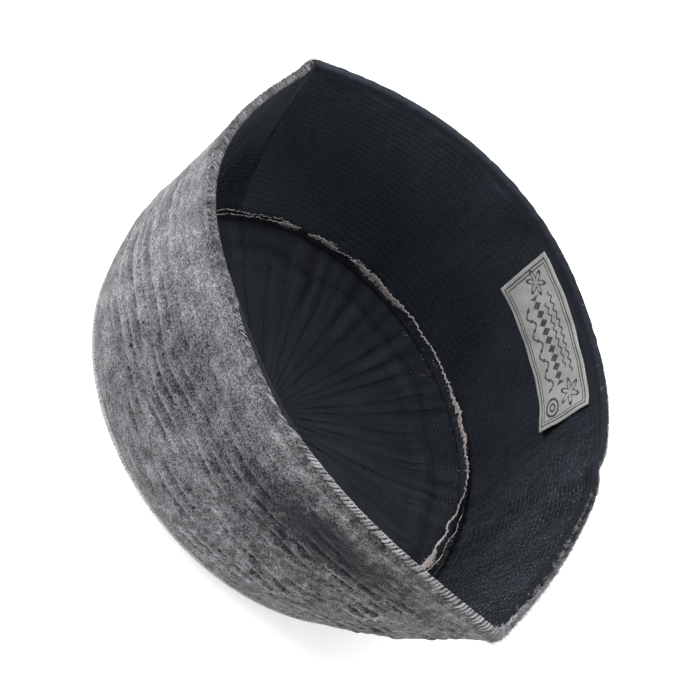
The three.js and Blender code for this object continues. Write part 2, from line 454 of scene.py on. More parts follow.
def velvetMaterial(name, holes=None):
    look = velvetLook
    material, tree, shader = clothMaterial(name, 0.95, sheen=0.16, sheenRoughness=0.35, specular=0.1)
    place = objectPlace(tree)
    tufts = addNode(tree, "ShaderNodeTexVoronoi", Scale=look["tuftsPerMetre"])
    tree.links.new(place, tufts.inputs["Vector"])
    nap = noise(tree, place, look["napPerMetre"], rough=0.7)
    blotch = noise(tree, place, look["blotchPerMetre"], detail=3, rough=0.6)
    # the lightness starts from the piece's attribute, which holds the nap's own tone and painted light and
    # shade
    lightness = plus(
        tree,
        attribute(tree, "napAndPaintedLight"),
        stretch(tree, nap, 0.33, 0.50, -look["pepperShade"], 0.3 * look["pepperShade"]),
        swing(tree, splitUp(tree, tufts.outputs["Color"])[0], look["tuftShade"], 0.0, 1.0),
        swing(tree, nap, look["napShade"]),
        swing(tree, blotch, look["blotchShade"]),
    )
    heights = [
        (tufts.outputs["Distance"], -look["tuftDepth"]),
        (nap, look["napDepth"]),
        (blotch, look["blotchDepth"]),
    ]
    if holes is not None:
        # streaks of pile laid along the rows
        streak = drawnNoise(tree, (1 / look["streakLength"], 1, 1), look["streakPerMetre"], 0.55)
        lightness = plus(tree, lightness, swing(tree, streak, look["streakShade"]))
        # dark needle pricks: near a whole row number, near the middle of a pitch, here and there
        inRow = stretch(tree, maths(tree, "PINGPONG", attribute(tree, "row"), 0.5), 0.05, 0.12, 1, 0)
        onCloth = clothPlace(tree)
        wander = times(tree, noise(tree, place, look["wanderPerMetre"]), look["pitchWander"])
        wandered = plus(tree, splitUp(tree, onCloth)[0], wander)
        pitch = maths(tree, "PINGPONG", wandered, look["stitchPitch"] / 2000)
        inPitch = stretch(tree, pitch, 0.0004, 0.0007, 1, 0)
        here = stretch(tree, noise(tree, place, look["prickedPerMetre"]), 0.52, 0.60)
        prick = times(tree, inRow, inPitch, here, attribute(tree, "pricked"))
        lightness = minus(tree, lightness, times(tree, prick, look["stitchShade"]))
        # pressed marks at their places on the cloth, frayed by the nap
        for along, above, radius in holes:
            apart = addNode(tree, "ShaderNodeVectorMath", operation="DISTANCE")
            tree.links.new(onCloth, apart.inputs[0])
            apart.inputs[1].default_value = (along, above, 0)
            frayed = plus(tree, apart.outputs["Value"], swing(tree, nap, look["holeFray"]))
            hole = stretch(tree, frayed, radius * 0.6, radius * 1.25, look["holeShade"], 0)
            lightness = minus(tree, lightness, hole)
        heights += [(streak, look["streakDepth"]), (prick, -look["prickDepth"])]
    ramp = addNode(tree, "ShaderNodeValToRGB")
    ramp.color_ramp.elements[0].color = look["deep"]
    ramp.color_ramp.elements[1].color = look["light"]
    ramp.color_ramp.elements.new(0.5).color = look["middle"]
    tree.links.new(lightness, ramp.inputs["Fac"])
    finishCloth(tree, shader, ramp.outputs["Color"], heights)
    return material


band = {
    "channels": 14,
    "deepAtEdges": 0.18,
    "deepInside": 0.62,
    "rowWander": 0.09,  # of a row
    "wrinkle": 0.26,
    "pucker": 0.07,
    "stations": 680,
    "levels": 124,
    "seamTuck": 0.3,
    "nap": 0.425,  # how light the pile lies, 0 to 1
    "stripeShade": 0.06,  # broad light and dark stripes at the -X side
    "slopePaintedShade": 0.28,  # painted light and shade by the cushions' slope, lighter towards the foot
    "mottle": 0.05,
    # painted shade in the groove where the wall meets the rim's bead: how dark and how wide
    "creaseShade": 0.10,
    "creaseHalfWidth": 0.013,  # of the wall's height
    "rough": (0.30, 0.38, 0.50, 0.52),  # where round the cap the pile is mottled more
    "striped": (0.12, 0.16, 0.22, 0.27),
    "crumpled": (0.32, 0.38, 0.50, 0.55),
    # where the pile is lighter or darker, partly its nap's own tone and partly painted light and shade:
    # around, up, shade, spread around, spread up
    "napAndPaintedLight": [
        (0.19, 0.62, 0.12, 34, 24),
        (0.21, 0.12, -0.02, 50, 14),
        (0.255, 0.22, -0.07, 24, 14),
        (0.225, 0.60, -0.11, 26, 16),
        (0.222, 0.13, 0.12, 9, 2.5),
        (0.29, 0.76, -0.10, 46, 18),
        (0.352, 0.66, -0.26, 24, 12),
        (0.392, 0.80, -0.76, 20, 9),
        (0.425, 0.86, -0.12, 16, 8),
        (0.375, 0.50, -0.12, 20, 9),
        (0.46, 0.80, -0.16, 30, 12),
        (0.262, 0.56, -0.12, 28, 22),
        (0.46, 0.58, -0.07, 50, 30),
        (0.292, 0.24, -0.04, 26, 16),
        (0.30, 0.14, -0.05, 40, 14),
        (0.43, 0.33, -0.07, 40, 18),
        (0.115, 0.40, 0.10, 20, 26),
    ],
    # needle holes and one pressed spot: around, up, radius
    "holes": [
        (0.2342, 0.350, 0.8),
        (0.2258, 0.469, 0.65),
        (0.2317, 0.262, 0.5),
        (0.2467, 0.288, 0.85),
        (0.2608, 0.481, 0.7),
        (0.2608, 0.300, 0.5),
        (0.2975, 0.650, 0.55),
        (0.2990, 0.643, 0.55),
        (0.3558, 0.644, 1.5),
    ],
}

holesOnCloth = np.array(band["holes"]) * (rimLength, wallHeight, 1) / 1000
quiltedVelvet = velvetMaterial("quiltedVelvet", holesOnCloth)
plainVelvet = velvetMaterial("plainVelvet")


def bandRow(around, up):
    # the place of a point among the stitch rows, counted from the foot; the rows wander a little
    return up * band["channels"] + band["rowWander"] * ripples(around, up, 11, turns=(2, 14), climbs=1.5)


def bandRelief(around, up):
    # cushions between the stitch rows from the sine of the row's place, shallower towards both edges, with
    # slow wrinkles and fine puckers that fade out there too
    cushion = np.abs(np.sin(np.pi * bandRow(around, up))) ** 0.6 - 0.5
    full = 0.28 + 0.27 * smoothStep(0.34, 0.27, around)
    inside = smoothStep(0, 1, up / full) * smoothStep(1, 0.5, up)
    deep = band["deepAtEdges"] + (band["deepInside"] - band["deepAtEdges"]) * inside
    crumpled = 0.7 * between(around, band["crumpled"])
    deep = deep * np.clip(0.9 + 0.6 * ripples(around, up, 12, turns=(3, 20), climbs=5), 0.1, 1.9)
    deep = deep * np.clip(1 + crumpled * ripples(around, up, 17, turns=(20, 70), climbs=12), 0.1, 1.9)
    held = between(up, (0, 0.05, 0.95, 1))
    wrinkle = band["wrinkle"] * ripples(around, up, 13, turns=(4, 22), climbs=2)
    pucker = band["pucker"] * ripples(around, up, 14, turns=(50, 110), climbs=3)
    tuck = -band["seamTuck"] * np.exp(-((up * wallHeight / 1.6) ** 2))
    under = 0.06 * smoothStep(0.97, 1.0, up)
    deep = deep * smoothStep(1.0, 0.97, up)
    return np.clip(deep * cushion + held * (wrinkle + pucker), -0.9, 1.1) + tuck - under


def bandNapAndPaintedLight(around, up):
    # the pile's lightness: painted light and shade from the relief's slope, a mottle, stripes, soft patches
    reach = 0.006
    slope = (bandRelief(around, up + reach) - bandRelief(around, up - reach)) / (2 * reach * wallHeight)
    slope = np.clip(slope, -0.6, 0.6) * between(up, (0, 0.04, 0.96, 1))
    fine = 0.5 + between(around, band["rough"])
    mottle = ripples(around, up, 15, turns=(5, 50), climbs=6)
    mottle = mottle + fine * ripples(around, up, 16, turns=(60, 190), climbs=16, count=40)
    striped = between(around, band["striped"]) * between(up, (0.1, 0.3, 0.7, 0.9))
    stripes = striped * np.sin(np.pi * bandRow(around, up))
    shade = band["nap"] + band["slopePaintedShade"] * slope + band["mottle"] * mottle
    return shade + band["stripeShade"] * stripes + patches(around, up, band["napAndPaintedLight"])


def rimGrooveShade(around, up):
    # painted shade: a ragged dark line in the groove where the left half of the wall meets the rim's bead
    patchy = np.clip(0.6 + 0.7 * ripples(around, up, 18, turns=(110, 330), climbs=10), 0, 1.6)
    fromRim = (up - belowRim) / band["creaseHalfWidth"]
    return patchy * np.exp(-(fromRim**2)) * smoothStep(0.30, 0.24, around)


def bandPricked(around, up):
    # the needle pricks show at the lower right, and less on the left or under the rim
    return (0.42 + 0.58 * smoothStep(0.30, 0.36, around)) * smoothStep(0.98, 0.75, up)


def makeBand():
    around = stationShares(band["stations"])[:, None]
    outUp = np.linspace(0, 1, band["levels"])[None, :]
    inUp = np.linspace(1, 0, 5)[None, :]
    up = np.concatenate([outUp, inUp], axis=1)
    outside = wallPoint(around, outUp, bandOuter + bandRelief(around, outUp))
    alongs = np.append(around, 1) * rimLength
    acrosses = np.concatenate([outUp[0], 2 - inUp[0], [2]]) * wallHeight
    acrosses[len(outUp[0]) :] += 2
    acrosses[-1] += 2
    addGrid(
        "velvetBand",
        np.concatenate([outside, wallPoint(around, inUp, bandInner)], axis=1),
        quiltedVelvet,
        "velvet",
        "band",
        uv=gridUv(alongs, acrosses),
        attributes={
            # the nap's tone and painted light and shade, less the painted shade in the groove under the rim
            "napAndPaintedLight": bandNapAndPaintedLight(around, up) - band["creaseShade"] * rimGrooveShade(around, up),
            "row": bandRow(around, up),
            "pricked": bandPricked(around, up),
        },
    )


makeBand()

crown = {
    "lines": 48,
    "lineDepth": 0.55,
    "lineHalfWidth": 1.1,
    "sway": 0.5,
    "swayLength": 26,
    "edgeRound": 0.9,
    "stations": 576,
    "wrinkle": 0.15,
    "nap": 0.5,
    # painted light on the crown's rounded edge, which lies in shadow
    "edgePaintedLight": 0.35,
    "mottle": 0.05,
}


def lineGroove(x, y, angles, centre, halfWidth, sway, swayLength):
    # distance to the nearest radial line, each swaying a little from side to side, as a bell 0 to 1
    dx, dy = x - centre[0], y - centre[1]
    radius = np.hypot(dx, dy)
    turn = np.arctan2(dy, dx)
    nearest = np.full(x.shape, 1e9)
    for number, angle in enumerate(angles):
        swing = sway * np.sin(2 * np.pi * radius / swayLength + 2.4 * number) * smoothStep(6, 30, radius)
        apart = (turn - angle + np.pi) % (2 * np.pi) - np.pi
        nearest = np.minimum(nearest, np.abs(apart * radius - swing))
    return np.exp(-((nearest / halfWidth) ** 2))


def makeCrown():
    angle = np.pi + 2 * np.pi * np.arange(crown["stations"])[:, None] / crown["stations"]
    turns = angle / (2 * np.pi)
    edge = cap["crownRadius"] + wallThick / 2
    under = np.concatenate([[0, 4], np.linspace(8, edge - crown["edgeRound"], 58)])
    over = np.array([66.0, 52, 38, 20, 0])
    lines = 2 * np.pi * (np.arange(crown["lines"]) + 0.5) / crown["lines"]
    x, y = under * np.cos(angle), under * np.sin(angle)
    groove = lineGroove(x, y, lines, (0, 0), crown["lineHalfWidth"], crown["sway"], crown["swayLength"])
    soft = 0.5 + 0.5 * np.clip(ripples(turns, under / 80, 21, turns=(3, 14), climbs=2) / 2, -1, 1)
    lift = (crown["lineDepth"] * groove + crown["wrinkle"] * soft) * between(under, (5, 12, 72, 78))
    bend = np.linspace(-0.35, 0.5, 6)[1:] * np.pi
    sideRadius = edge - crown["edgeRound"] * (1 - np.cos(bend))
    sideHeight = cap["edgeLift"] + 0.8 + 0.8 * np.sin(bend)
    rings = (
        onCircle(under, angle, crownRise(np.minimum(under, 80)) + lift),
        onCircle(sideRadius, angle, sideHeight),
        onCircle(over, angle, crownRise(over) + cap["velvetThick"]),
    )
    points = np.concatenate(rings, axis=1)
    radius = np.hypot(points[..., 0], points[..., 1])
    # painted light on the crown's rounded edge, which lies in shadow, over the nap's own tone and a mottle
    shade = crown["nap"] + crown["edgePaintedLight"] * smoothStep(60, 80, radius)
    shade = shade + crown["mottle"] * ripples(turns, radius / 80, 22, turns=(5, 60))
    addGrid(
        "velvetCrown",
        points,
        plainVelvet,
        "velvet",
        "crown",
        closeAcross=False,
        attributes={"napAndPaintedLight": shade},
        weld=True,
    )


makeCrown()

# dark lining
liningLook = {
    "deep": (0.0040, 0.0060, 0.0095, 1),
    "wallLight": (0.037, 0.0460, 0.0610, 1),
    "crownLight": (0.0345, 0.0410, 0.0520, 1),
    "weavePerMetre": 1700,
    "weaveShade": 0.20,
    "weaveDepth": 0.00018,
    "slubPerMetre": 420,
    "slubShade": 0.12,
    "slubDepth": 0.0002,
    "cloudPerMetre": 45,
    "cloudShade": 0.10,
    "lineHalfWidth": 0.0005,
    "lineShade": 0.28,
    "lineDepth": 0.0003,
    "rowShade": 0.22,
    "rowDepth": 0.0007,
    "puckerShade": 0.70,
    "puckerDepth": 0.0008,
    "puckerPerMetre": 500,
    "puckerLength": 4.5,  # times its width
    "stitchDark": (0.010, 0.0125, 0.017, 1),
    "stitchLight": (0.24, 0.25, 0.275, 1),
}


def liningMaterial(name, light, quiltLines=False, rows=False):
    # how light it is comes from the piece's own shade, which holds painted light and shade, with weave,
    # slubs and faint broad clouds
    look = liningLook
    material, tree, shader = clothMaterial(
        name, 0.72, sheen=0.10, sheenRoughness=0.4, sheenTint=(0.7, 0.85, 1.0), specular=0.2
    )
    place = objectPlace(tree)
    weave = noise(tree, place, look["weavePerMetre"], rough=0.7)
    slub = noise(tree, place, look["slubPerMetre"], detail=3, rough=0.6)
    lightness = plus(
        tree,
        attribute(tree, "shade"),
        swing(tree, weave, look["weaveShade"]),
        swing(tree, slub, look["slubShade"]),
        swing(tree, noise(tree, place, look["cloudPerMetre"]), look["cloudShade"]),
    )
    heights = [(weave, look["weaveDepth"]), (slub, look["slubDepth"])]
    if quiltLines:
        # the turn between two sewn lines comes as a sine and a cosine, times their gap it is the distance
        # to the nearest line; the thread sinks in and shows in short stitches, worn here and there, and
        # fades out where the lines run together
        sine, cosine, gap = (attribute(tree, part) for part in ("lineSine", "lineCosine", "lineGap"))
        turn = maths(tree, "ABSOLUTE", maths(tree, "ARCTAN2", sine, cosine))
        apart = times(tree, turn, gap, 1 / (2 * math.pi))
        drawn = times(
            tree,
            stretch(tree, apart, 0.00012, look["lineHalfWidth"], 1, 0),
            stretch(tree, noise(tree, place, 650, detail=1), 0.42, 0.56, 0.45, 1),
            stretch(tree, noise(tree, place, 60), 0.36, 0.6, 0.25, 1),
            stretch(tree, gap, 0.0008, 0.0022),
        )
        lightness = minus(tree, lightness, times(tree, drawn, look["lineShade"]))
        heights.append((drawn, -look["lineDepth"]))
    if rows:
        # the stitch rows: a narrow groove at each whole row number, crossed by short puckers with painted
        # light and shade
        strong = attribute(tree, "strong")
        groove = stretch(tree, maths(tree, "PINGPONG", attribute(tree, "row"), 0.5), 0.03, 0.3, 1, 0)
        broken = stretch(tree, noise(tree, place, 150), 0.40, 0.60, 0.3, 1)
        groove = times(tree, groove, broken, strong)
        pucker = drawnNoise(tree, (1, 1 / look["puckerLength"], 1), look["puckerPerMetre"], 0.6)
        puckered = times(tree, swing(tree, pucker, 1, 0.35, 0.65), strong)
        lightness = minus(tree, lightness, times(tree, groove, look["rowShade"]))
        lightness = plus(tree, lightness, times(tree, puckered, look["puckerShade"]))
        heights += [(groove, -look["rowDepth"]), (puckered, look["puckerDepth"])]
    colour = blend(tree, stretch(tree, lightness, 0, 1), look["deep"], light)
    finishCloth(tree, shader, colour, heights)
    return material


def stitchMaterial():
    material, tree, shader = clothMaterial("liningStitch", 0.6, sheen=0.2, specular=0.4)
    place = objectPlace(tree)
    lightness = times(tree, stretch(tree, noise(tree, place, 160), 0.42, 0.68), attribute(tree, "shade"))
    colour = blend(tree, lightness, liningLook["stitchDark"], liningLook["stitchLight"])
    finishCloth(tree, shader, colour, [(noise(tree, place, 3000), 0.0001)])
    return material


wallCloth = liningMaterial("darkLining", liningLook["wallLight"], rows=True)
crownLiningCloth = liningMaterial("quiltedLining", liningLook["crownLight"], quiltLines=True)
liningThread = stitchMaterial()

wallLining = {
    "rows": 30,
    "rowDepth": 0.22,
    "rowWander": 0.12,
    "wrinkle": 0.18,
    "pucker": 0.06,
    "strongRows": (0.49, 0.54, 0.62, 0.72),  # where round the cap the rows stand out, eased in and out
    "shade": 0.28,
    "grooveShade": 0.10,
    # painted light and shade, lighter and darker places: amount, where around, where up
    "tones": [
        (0.36, after(0.80, 0.94), always),
        (-0.40, before(0.04, 0.10), after(0, 0.5)),
        (0.03, after(0.70, 0.80), before(0, 0.55)),
        (-0.22, (0.50, 0.52, 0.60, 0.66), always),
        (-0.14, (0.53, 0.58, 0.63, 0.70), before(0.2, 0.6)),
    ],
    "stations": 640,
    "levels": 134,
    "stitchPitch": 2.3,
    "stitchLength": 1.3,
    "stitchWidth": 0.42,
    "stitchHeight": 0.2,
    "stitchesMissing": 0.12,
}


def liningRow(around, up):
    # the place of a point among the stitch rows, counted from the foot
    wander = wallLining["rowWander"] * ripples(around, up, 31, turns=(2, 30), climbs=2)
    return up * wallLining["rows"] + wander


def strongRows(around):
    return between(around, wallLining["strongRows"])


def quiltedStrength(around):
    # how strongly the material draws the rows
    return 0.12 + 0.88 * strongRows(around)


def liningRelief(around, up):
    # small cushions between the rows, slow wrinkles, and puckers that run up the wall; inwards is negative
    cushion = 0.5 - np.abs(np.sin(np.pi * liningRow(around, up))) ** 0.7
    held = between(up, (0, 0.04, 0.97, 1))
    strength = 0.7 + 1.1 * strongRows(around)
    wrinkle = wallLining["wrinkle"] * ripples(around, up, 33, turns=(4, 26), climbs=2)
    pucker = wallLining["pucker"] * ripples(around, up, 34, turns=(50, 104), climbs=6)
    return held * (strength * (wallLining["rowDepth"] * cushion + pucker) + wrinkle)


def liningShade(around, up):
    # darker in the stitch rows; painted shade in the hollows, painted light on the ridges and at places
    groove = (1 - np.abs(np.sin(np.pi * liningRow(around, up)))) * smoothStep(1, 0.985, up)
    ridge = np.clip(-liningRelief(around, up), -0.5, 0.5)
    lit = wallLining["shade"] + tones(around, up, wallLining["tones"])
    return lit - wallLining["grooveShade"] * groove + (0.22 + 0.3 * strongRows(around)) * ridge


def makeWallLining():
    around = stationShares(wallLining["stations"])[:, None]
    outUp = np.linspace(0, 1, 5)[None, :]
    inUp = np.linspace(1, 0, wallLining["levels"])[None, :]
    up = np.concatenate([outUp, inUp], axis=1)
    relief = np.minimum(liningInner + liningRelief(around, inUp), liningOuter - 0.3)
    outside, inside = wallPoint(around, outUp, liningOuter), wallPoint(around, inUp, relief)
    alongs = np.append(around, 1) * rimLength
    under, over = (outUp[0] - 1) * wallHeight - 2, (1 - inUp[0]) * wallHeight
    addGrid(
        "wallLining",
        np.concatenate([outside, inside], axis=1),
        wallCloth,
        "lining_cloth",
        "band_lining",
        uv=gridUv(alongs, np.concatenate([under, over, [wallHeight + 2]])),
        attributes={
            "shade": liningShade(around, up),
            "row": liningRow(around, up),
            "strong": quiltedStrength(around) + 0 * up,
        },
    )


def makeWallStitches():
    # stitches lie in the rows' grooves at an even pitch, a few left out, each a little off its place
    rng = np.random.default_rng(35)
    rows = wallLining["rows"]
    perRow = round(rimLength / wallLining["stitchPitch"])
    row = np.repeat(np.arange(1, rows), perRow)
    number = np.tile(np.arange(perRow), rows - 1)
    around = (number + rng.uniform(0, 1, rows)[row] + rng.uniform(-0.22, 0.22, row.shape)) / perRow
    up = row / rows
    for _ in range(3):
        up = (row - (liningRow(around, up) - up * rows)) / rows
    kept = (rng.random(row.shape) > wallLining["stitchesMissing"]) & (up < belowRim) & (up > 0.02)
    around, up = around[kept], up[kept]
    bold = strongRows(around)
    lipped = 0.19 * smoothStep(5.0, 0.0, (1 - up) * wallHeight)
    surface = liningInner + liningRelief(around, up) - 0.05 - 0.10 * bold - lipped
    centre = wallPoint(around, up, surface)
    along = unit(wallPoint(around + 0.001, up, surface) - centre)
    inward = unit(np.cross(wallPoint(around, up + 0.01, surface) - centre, along))
    length = wallLining["stitchLength"] * rng.uniform(0.6, 1.15, len(around))
    width, height = wallLining["stitchWidth"], wallLining["stitchHeight"]
    points, faces = smallStitches(centre, along, inward, length, width, height)
    seen = np.clip(0.02 + bold + rng.normal(0, 0.25, len(around)) * (0.3 + 0.7 * bold), 0, 1)
    shade = {"shade": np.repeat(seen * (0.25 + 0.75 * smoothStep(0.1, 0.7, up)), 6)}
    addPiece("wallStitches", points, faces, liningThread, "lining_cloth", "band_lining", attributes=shade)


makeWallLining()
makeWallStitches()

crownCloth = {
    "centre": (-1.5, -7.0),  # where the radial rows meet, a little off the middle
    # degrees from +X of the lines on the far side
    "seenLines": (162, 152.5, 147, 140, 132, 125.5, 116, 110.5, 105.5, 98, 93.5, 86, 80, 75, 73, 66),
    "lineGap": 7.5,  # degrees between the other lines
    "lineDepth": 0.30,
    "lineHalfWidth": 0.6,
    "rollRadius": 63.5,
    "rollHalfWidth": 4.5,
    "rollHeight": 1.1,
    "creaseRadius": 68.6,
    "creaseDepth": 0.5,
    "innerCrease": 59.2,
    "wrinkle": 0.26,
    "shade": 0.375,
    # painted light in the middle of the crown lining
    "middleShade": 0.14,
    "rowShade": 0.08,
    # painted shade in the creases beside the roll
    "creaseShade": 0.26,
    "mottle": 0.04,
    # painted light and shade of soft pleats near the roll
    "pleatShade": 0.09,
    # painted light and shade, lighter and darker places: amount, which degrees from +X, which radius
    "tones": [
        (0.03, before(62, 92), always),
        (-0.08, (60, 85, 135, 165), after(12, 34)),
        (-0.06, always, after(66, 70)),
    ],
    "stations": 720,
    "rings": 112,
    "borderRows": (70.4, 71.8, 73.2, 74.6, 76.0),
    "borderPitch": 1.7,
    "borderSeen": (48, 62, 112, 124),  # degrees from +X where these stitches show pale
}


def radialAngles():
    # the lines on the far side, then more at a loose pitch round the rest of the turn
    rng = np.random.default_rng(41)
    seen, gap = crownCloth["seenLines"], crownCloth["lineGap"]
    rest = np.arange(seen[-1] - gap, seen[0] - 360, -gap)
    return np.radians(np.concatenate([seen, rest + rng.uniform(-1.6, 1.6, rest.shape)]))


def radialGroove(radius, angle, halfWidth):
    x, y = radius * np.cos(angle), radius * np.sin(angle)
    groove = lineGroove(x, y, radialAngles(), crownCloth["centre"], halfWidth, 0.0, 46)
    return groove * between(radius, (3, 9, 60, 68))


def sewnLines(radius, angle):
    # where a point lies between its two nearest sewn lines, as the sine and cosine of that share of a
    # turn, and the lines' distance there in metres
    dx = radius * np.cos(angle) - crownCloth["centre"][0]
    dy = radius * np.sin(angle) - crownCloth["centre"][1]
    turn = np.degrees(np.arctan2(dy, dx)) % 360
    lines = np.sort(np.degrees(radialAngles()) % 360)
    lines = np.concatenate([[lines[-1] - 360], lines, [lines[0] + 360]])
    before = np.clip(np.searchsorted(lines, turn, side="right") - 1, 0, len(lines) - 2)
    width = lines[before + 1] - lines[before]
    share = 2 * np.pi * (turn - lines[before]) / width
    reach = 67 + 5 * ripples(angle / (2 * np.pi), 0, 49, turns=(3, 30), climbs=0) + 4 * (np.cos(angle) > 0)
    gap = np.radians(width) * np.hypot(dx, dy) / 1000 * smoothStep(reach + 3, reach - 2, radius)
    gap = gap * (1 + 0.9 * smoothStep(100, 140, np.degrees(angle) % 360))
    return {"lineSine": np.sin(share), "lineCosine": np.cos(share), "lineGap": gap}


def rollWander(turns):
    return 0.8 * ripples(turns, 0 * turns, 42, turns=(2, 12), climbs=0)


def fromRing(radius, turns, ring, halfWidth):
    # how far outside a ring that wanders with the roll, in half widths
    return (radius - ring - rollWander(turns)) / halfWidth


def crownLiningTop(radius, angle):
    # the crown's rise, grooves along the radial rows, the soft roll, a crease outside it, slow wrinkles
    turns = angle / (2 * np.pi)
    panel = crownCloth["lineDepth"] * radialGroove(radius, angle, crownCloth["lineHalfWidth"])
    share = np.abs(fromRing(radius, turns, crownCloth["rollRadius"], crownCloth["rollHalfWidth"]))
    pleats = np.clip(1 + 0.5 * ripples(turns, radius / 80, 43, turns=(5, 40), climbs=1), 0.1, 1.9)
    roll = crownCloth["rollHeight"] * pleats * (1 - np.clip(share, 0, 1) ** 2) ** 2
    fromCrease = fromRing(radius, turns, crownCloth["creaseRadius"], 0.9)
    crease = crownCloth["creaseDepth"] * np.exp(-(fromCrease**2))
    wrinkle = crownCloth["wrinkle"] * ripples(turns, radius / 80, 44, turns=(3, 22), climbs=2.5)
    wrinkle = wrinkle * between(radius, (4, 14, 75, 77.9))
    flat = crownRise(radius) + cap["velvetThick"] + cap["gap"] + cap["liningThick"]
    return flat - panel + roll - crease + wrinkle


def crownShade(radius, angle):
    # dark in the radial rows; painted shade in the creases beside the roll, darker again on the border
    turns = angle / (2 * np.pi)
    rows = radialGroove(radius, angle, 1.0)
    creases = 0.6 * np.exp(-(fromRing(radius, turns, crownCloth["creaseRadius"], 1.5) ** 2))
    creases = creases + 0.3 * np.exp(-(fromRing(radius, turns, crownCloth["innerCrease"], 1.6) ** 2))
    # painted light and shade at places, and painted light in the middle
    lit = tones(np.degrees(angle) % 360, radius, crownCloth["tones"])
    lit = lit + crownCloth["middleShade"] * np.exp(-((radius / 30) ** 2))
    mottle = crownCloth["mottle"] * ripples(turns, radius / 80, 48)
    # painted light and shade of soft pleats near the roll
    pleats = smoothStep(44, 57, radius) * ripples(turns, radius / 160, 47, turns=(24, 90), climbs=2)
    shade = crownCloth["shade"] + lit + mottle + crownCloth["pleatShade"] * pleats
    return shade - crownCloth["rowShade"] * rows - crownCloth["creaseShade"] * creases


def makeCrownLining():
    angle = 2 * np.pi * np.arange(crownCloth["stations"])[:, None] / crownCloth["stations"]
    edge = footInside - 2 * cap["gap"]
    underRadius = np.array([0, 38, 52, 66, edge])
    topRadius = edge * (1 - np.linspace(0, 1, crownCloth["rings"]) ** 1.1)
    radius, angle = np.broadcast_arrays(np.concatenate([underRadius, topRadius]), angle)
    height = crownRise(radius) + cap["velvetThick"] + cap["gap"]
    under = len(underRadius)
    top = crownLiningTop(radius[:, under:], angle[:, under:])
    height[:, under:] = np.maximum(top, height[:, under:] + 0.3)
    height[:, -1] = height[:, -1].mean()
    addGrid(
        "crownLining",
        onCircle(radius, angle, height),
        crownLiningCloth,
        "lining_cloth",
        "crown_lining",
        closeAcross=False,
        attributes={"shade": crownShade(radius, angle), **sewnLines(radius, angle)},
        weld=True,
    )


def makeBorderStitches():
    # rings of small stitches on the flat border next to the seam
    rng = np.random.default_rng(45)
    centres, alongs = [], []
    for radius in crownCloth["borderRows"]:
        count = round(2 * np.pi * radius / crownCloth["borderPitch"])
        angle = 2 * np.pi * (np.arange(count) + rng.uniform(-0.15, 0.15, count)) / count
        place = radius + 0.25 * ripples(angle / (2 * np.pi), 0, 46, turns=(3, 30), climbs=0)
        centres.append(onCircle(place, angle, crownLiningTop(place, angle) + 0.05))
        alongs.append(onCircle(1, angle + np.pi / 2, 0))
    centre, along = np.concatenate(centres), np.concatenate(alongs)
    outward = np.broadcast_to([0.0, 0.0, 1.0], centre.shape)
    points, faces = smallStitches(centre, along, outward, rng.uniform(0.6, 1.0, len(centre)), 0.42, 0.14)
    seen = between(np.degrees(np.arctan2(centre[:, 1], centre[:, 0])) % 360, crownCloth["borderSeen"])
    shade = {"shade": np.repeat(np.clip(seen * (0.5 + rng.normal(0, 0.3, len(centre))), 0, 1), 6)}
    slot, node = "lining_cloth", "crown_lining"
    addPiece("borderStitches", points, faces, liningThread, slot, node, attributes=shade)


makeCrownLining()
makeBorderStitches()

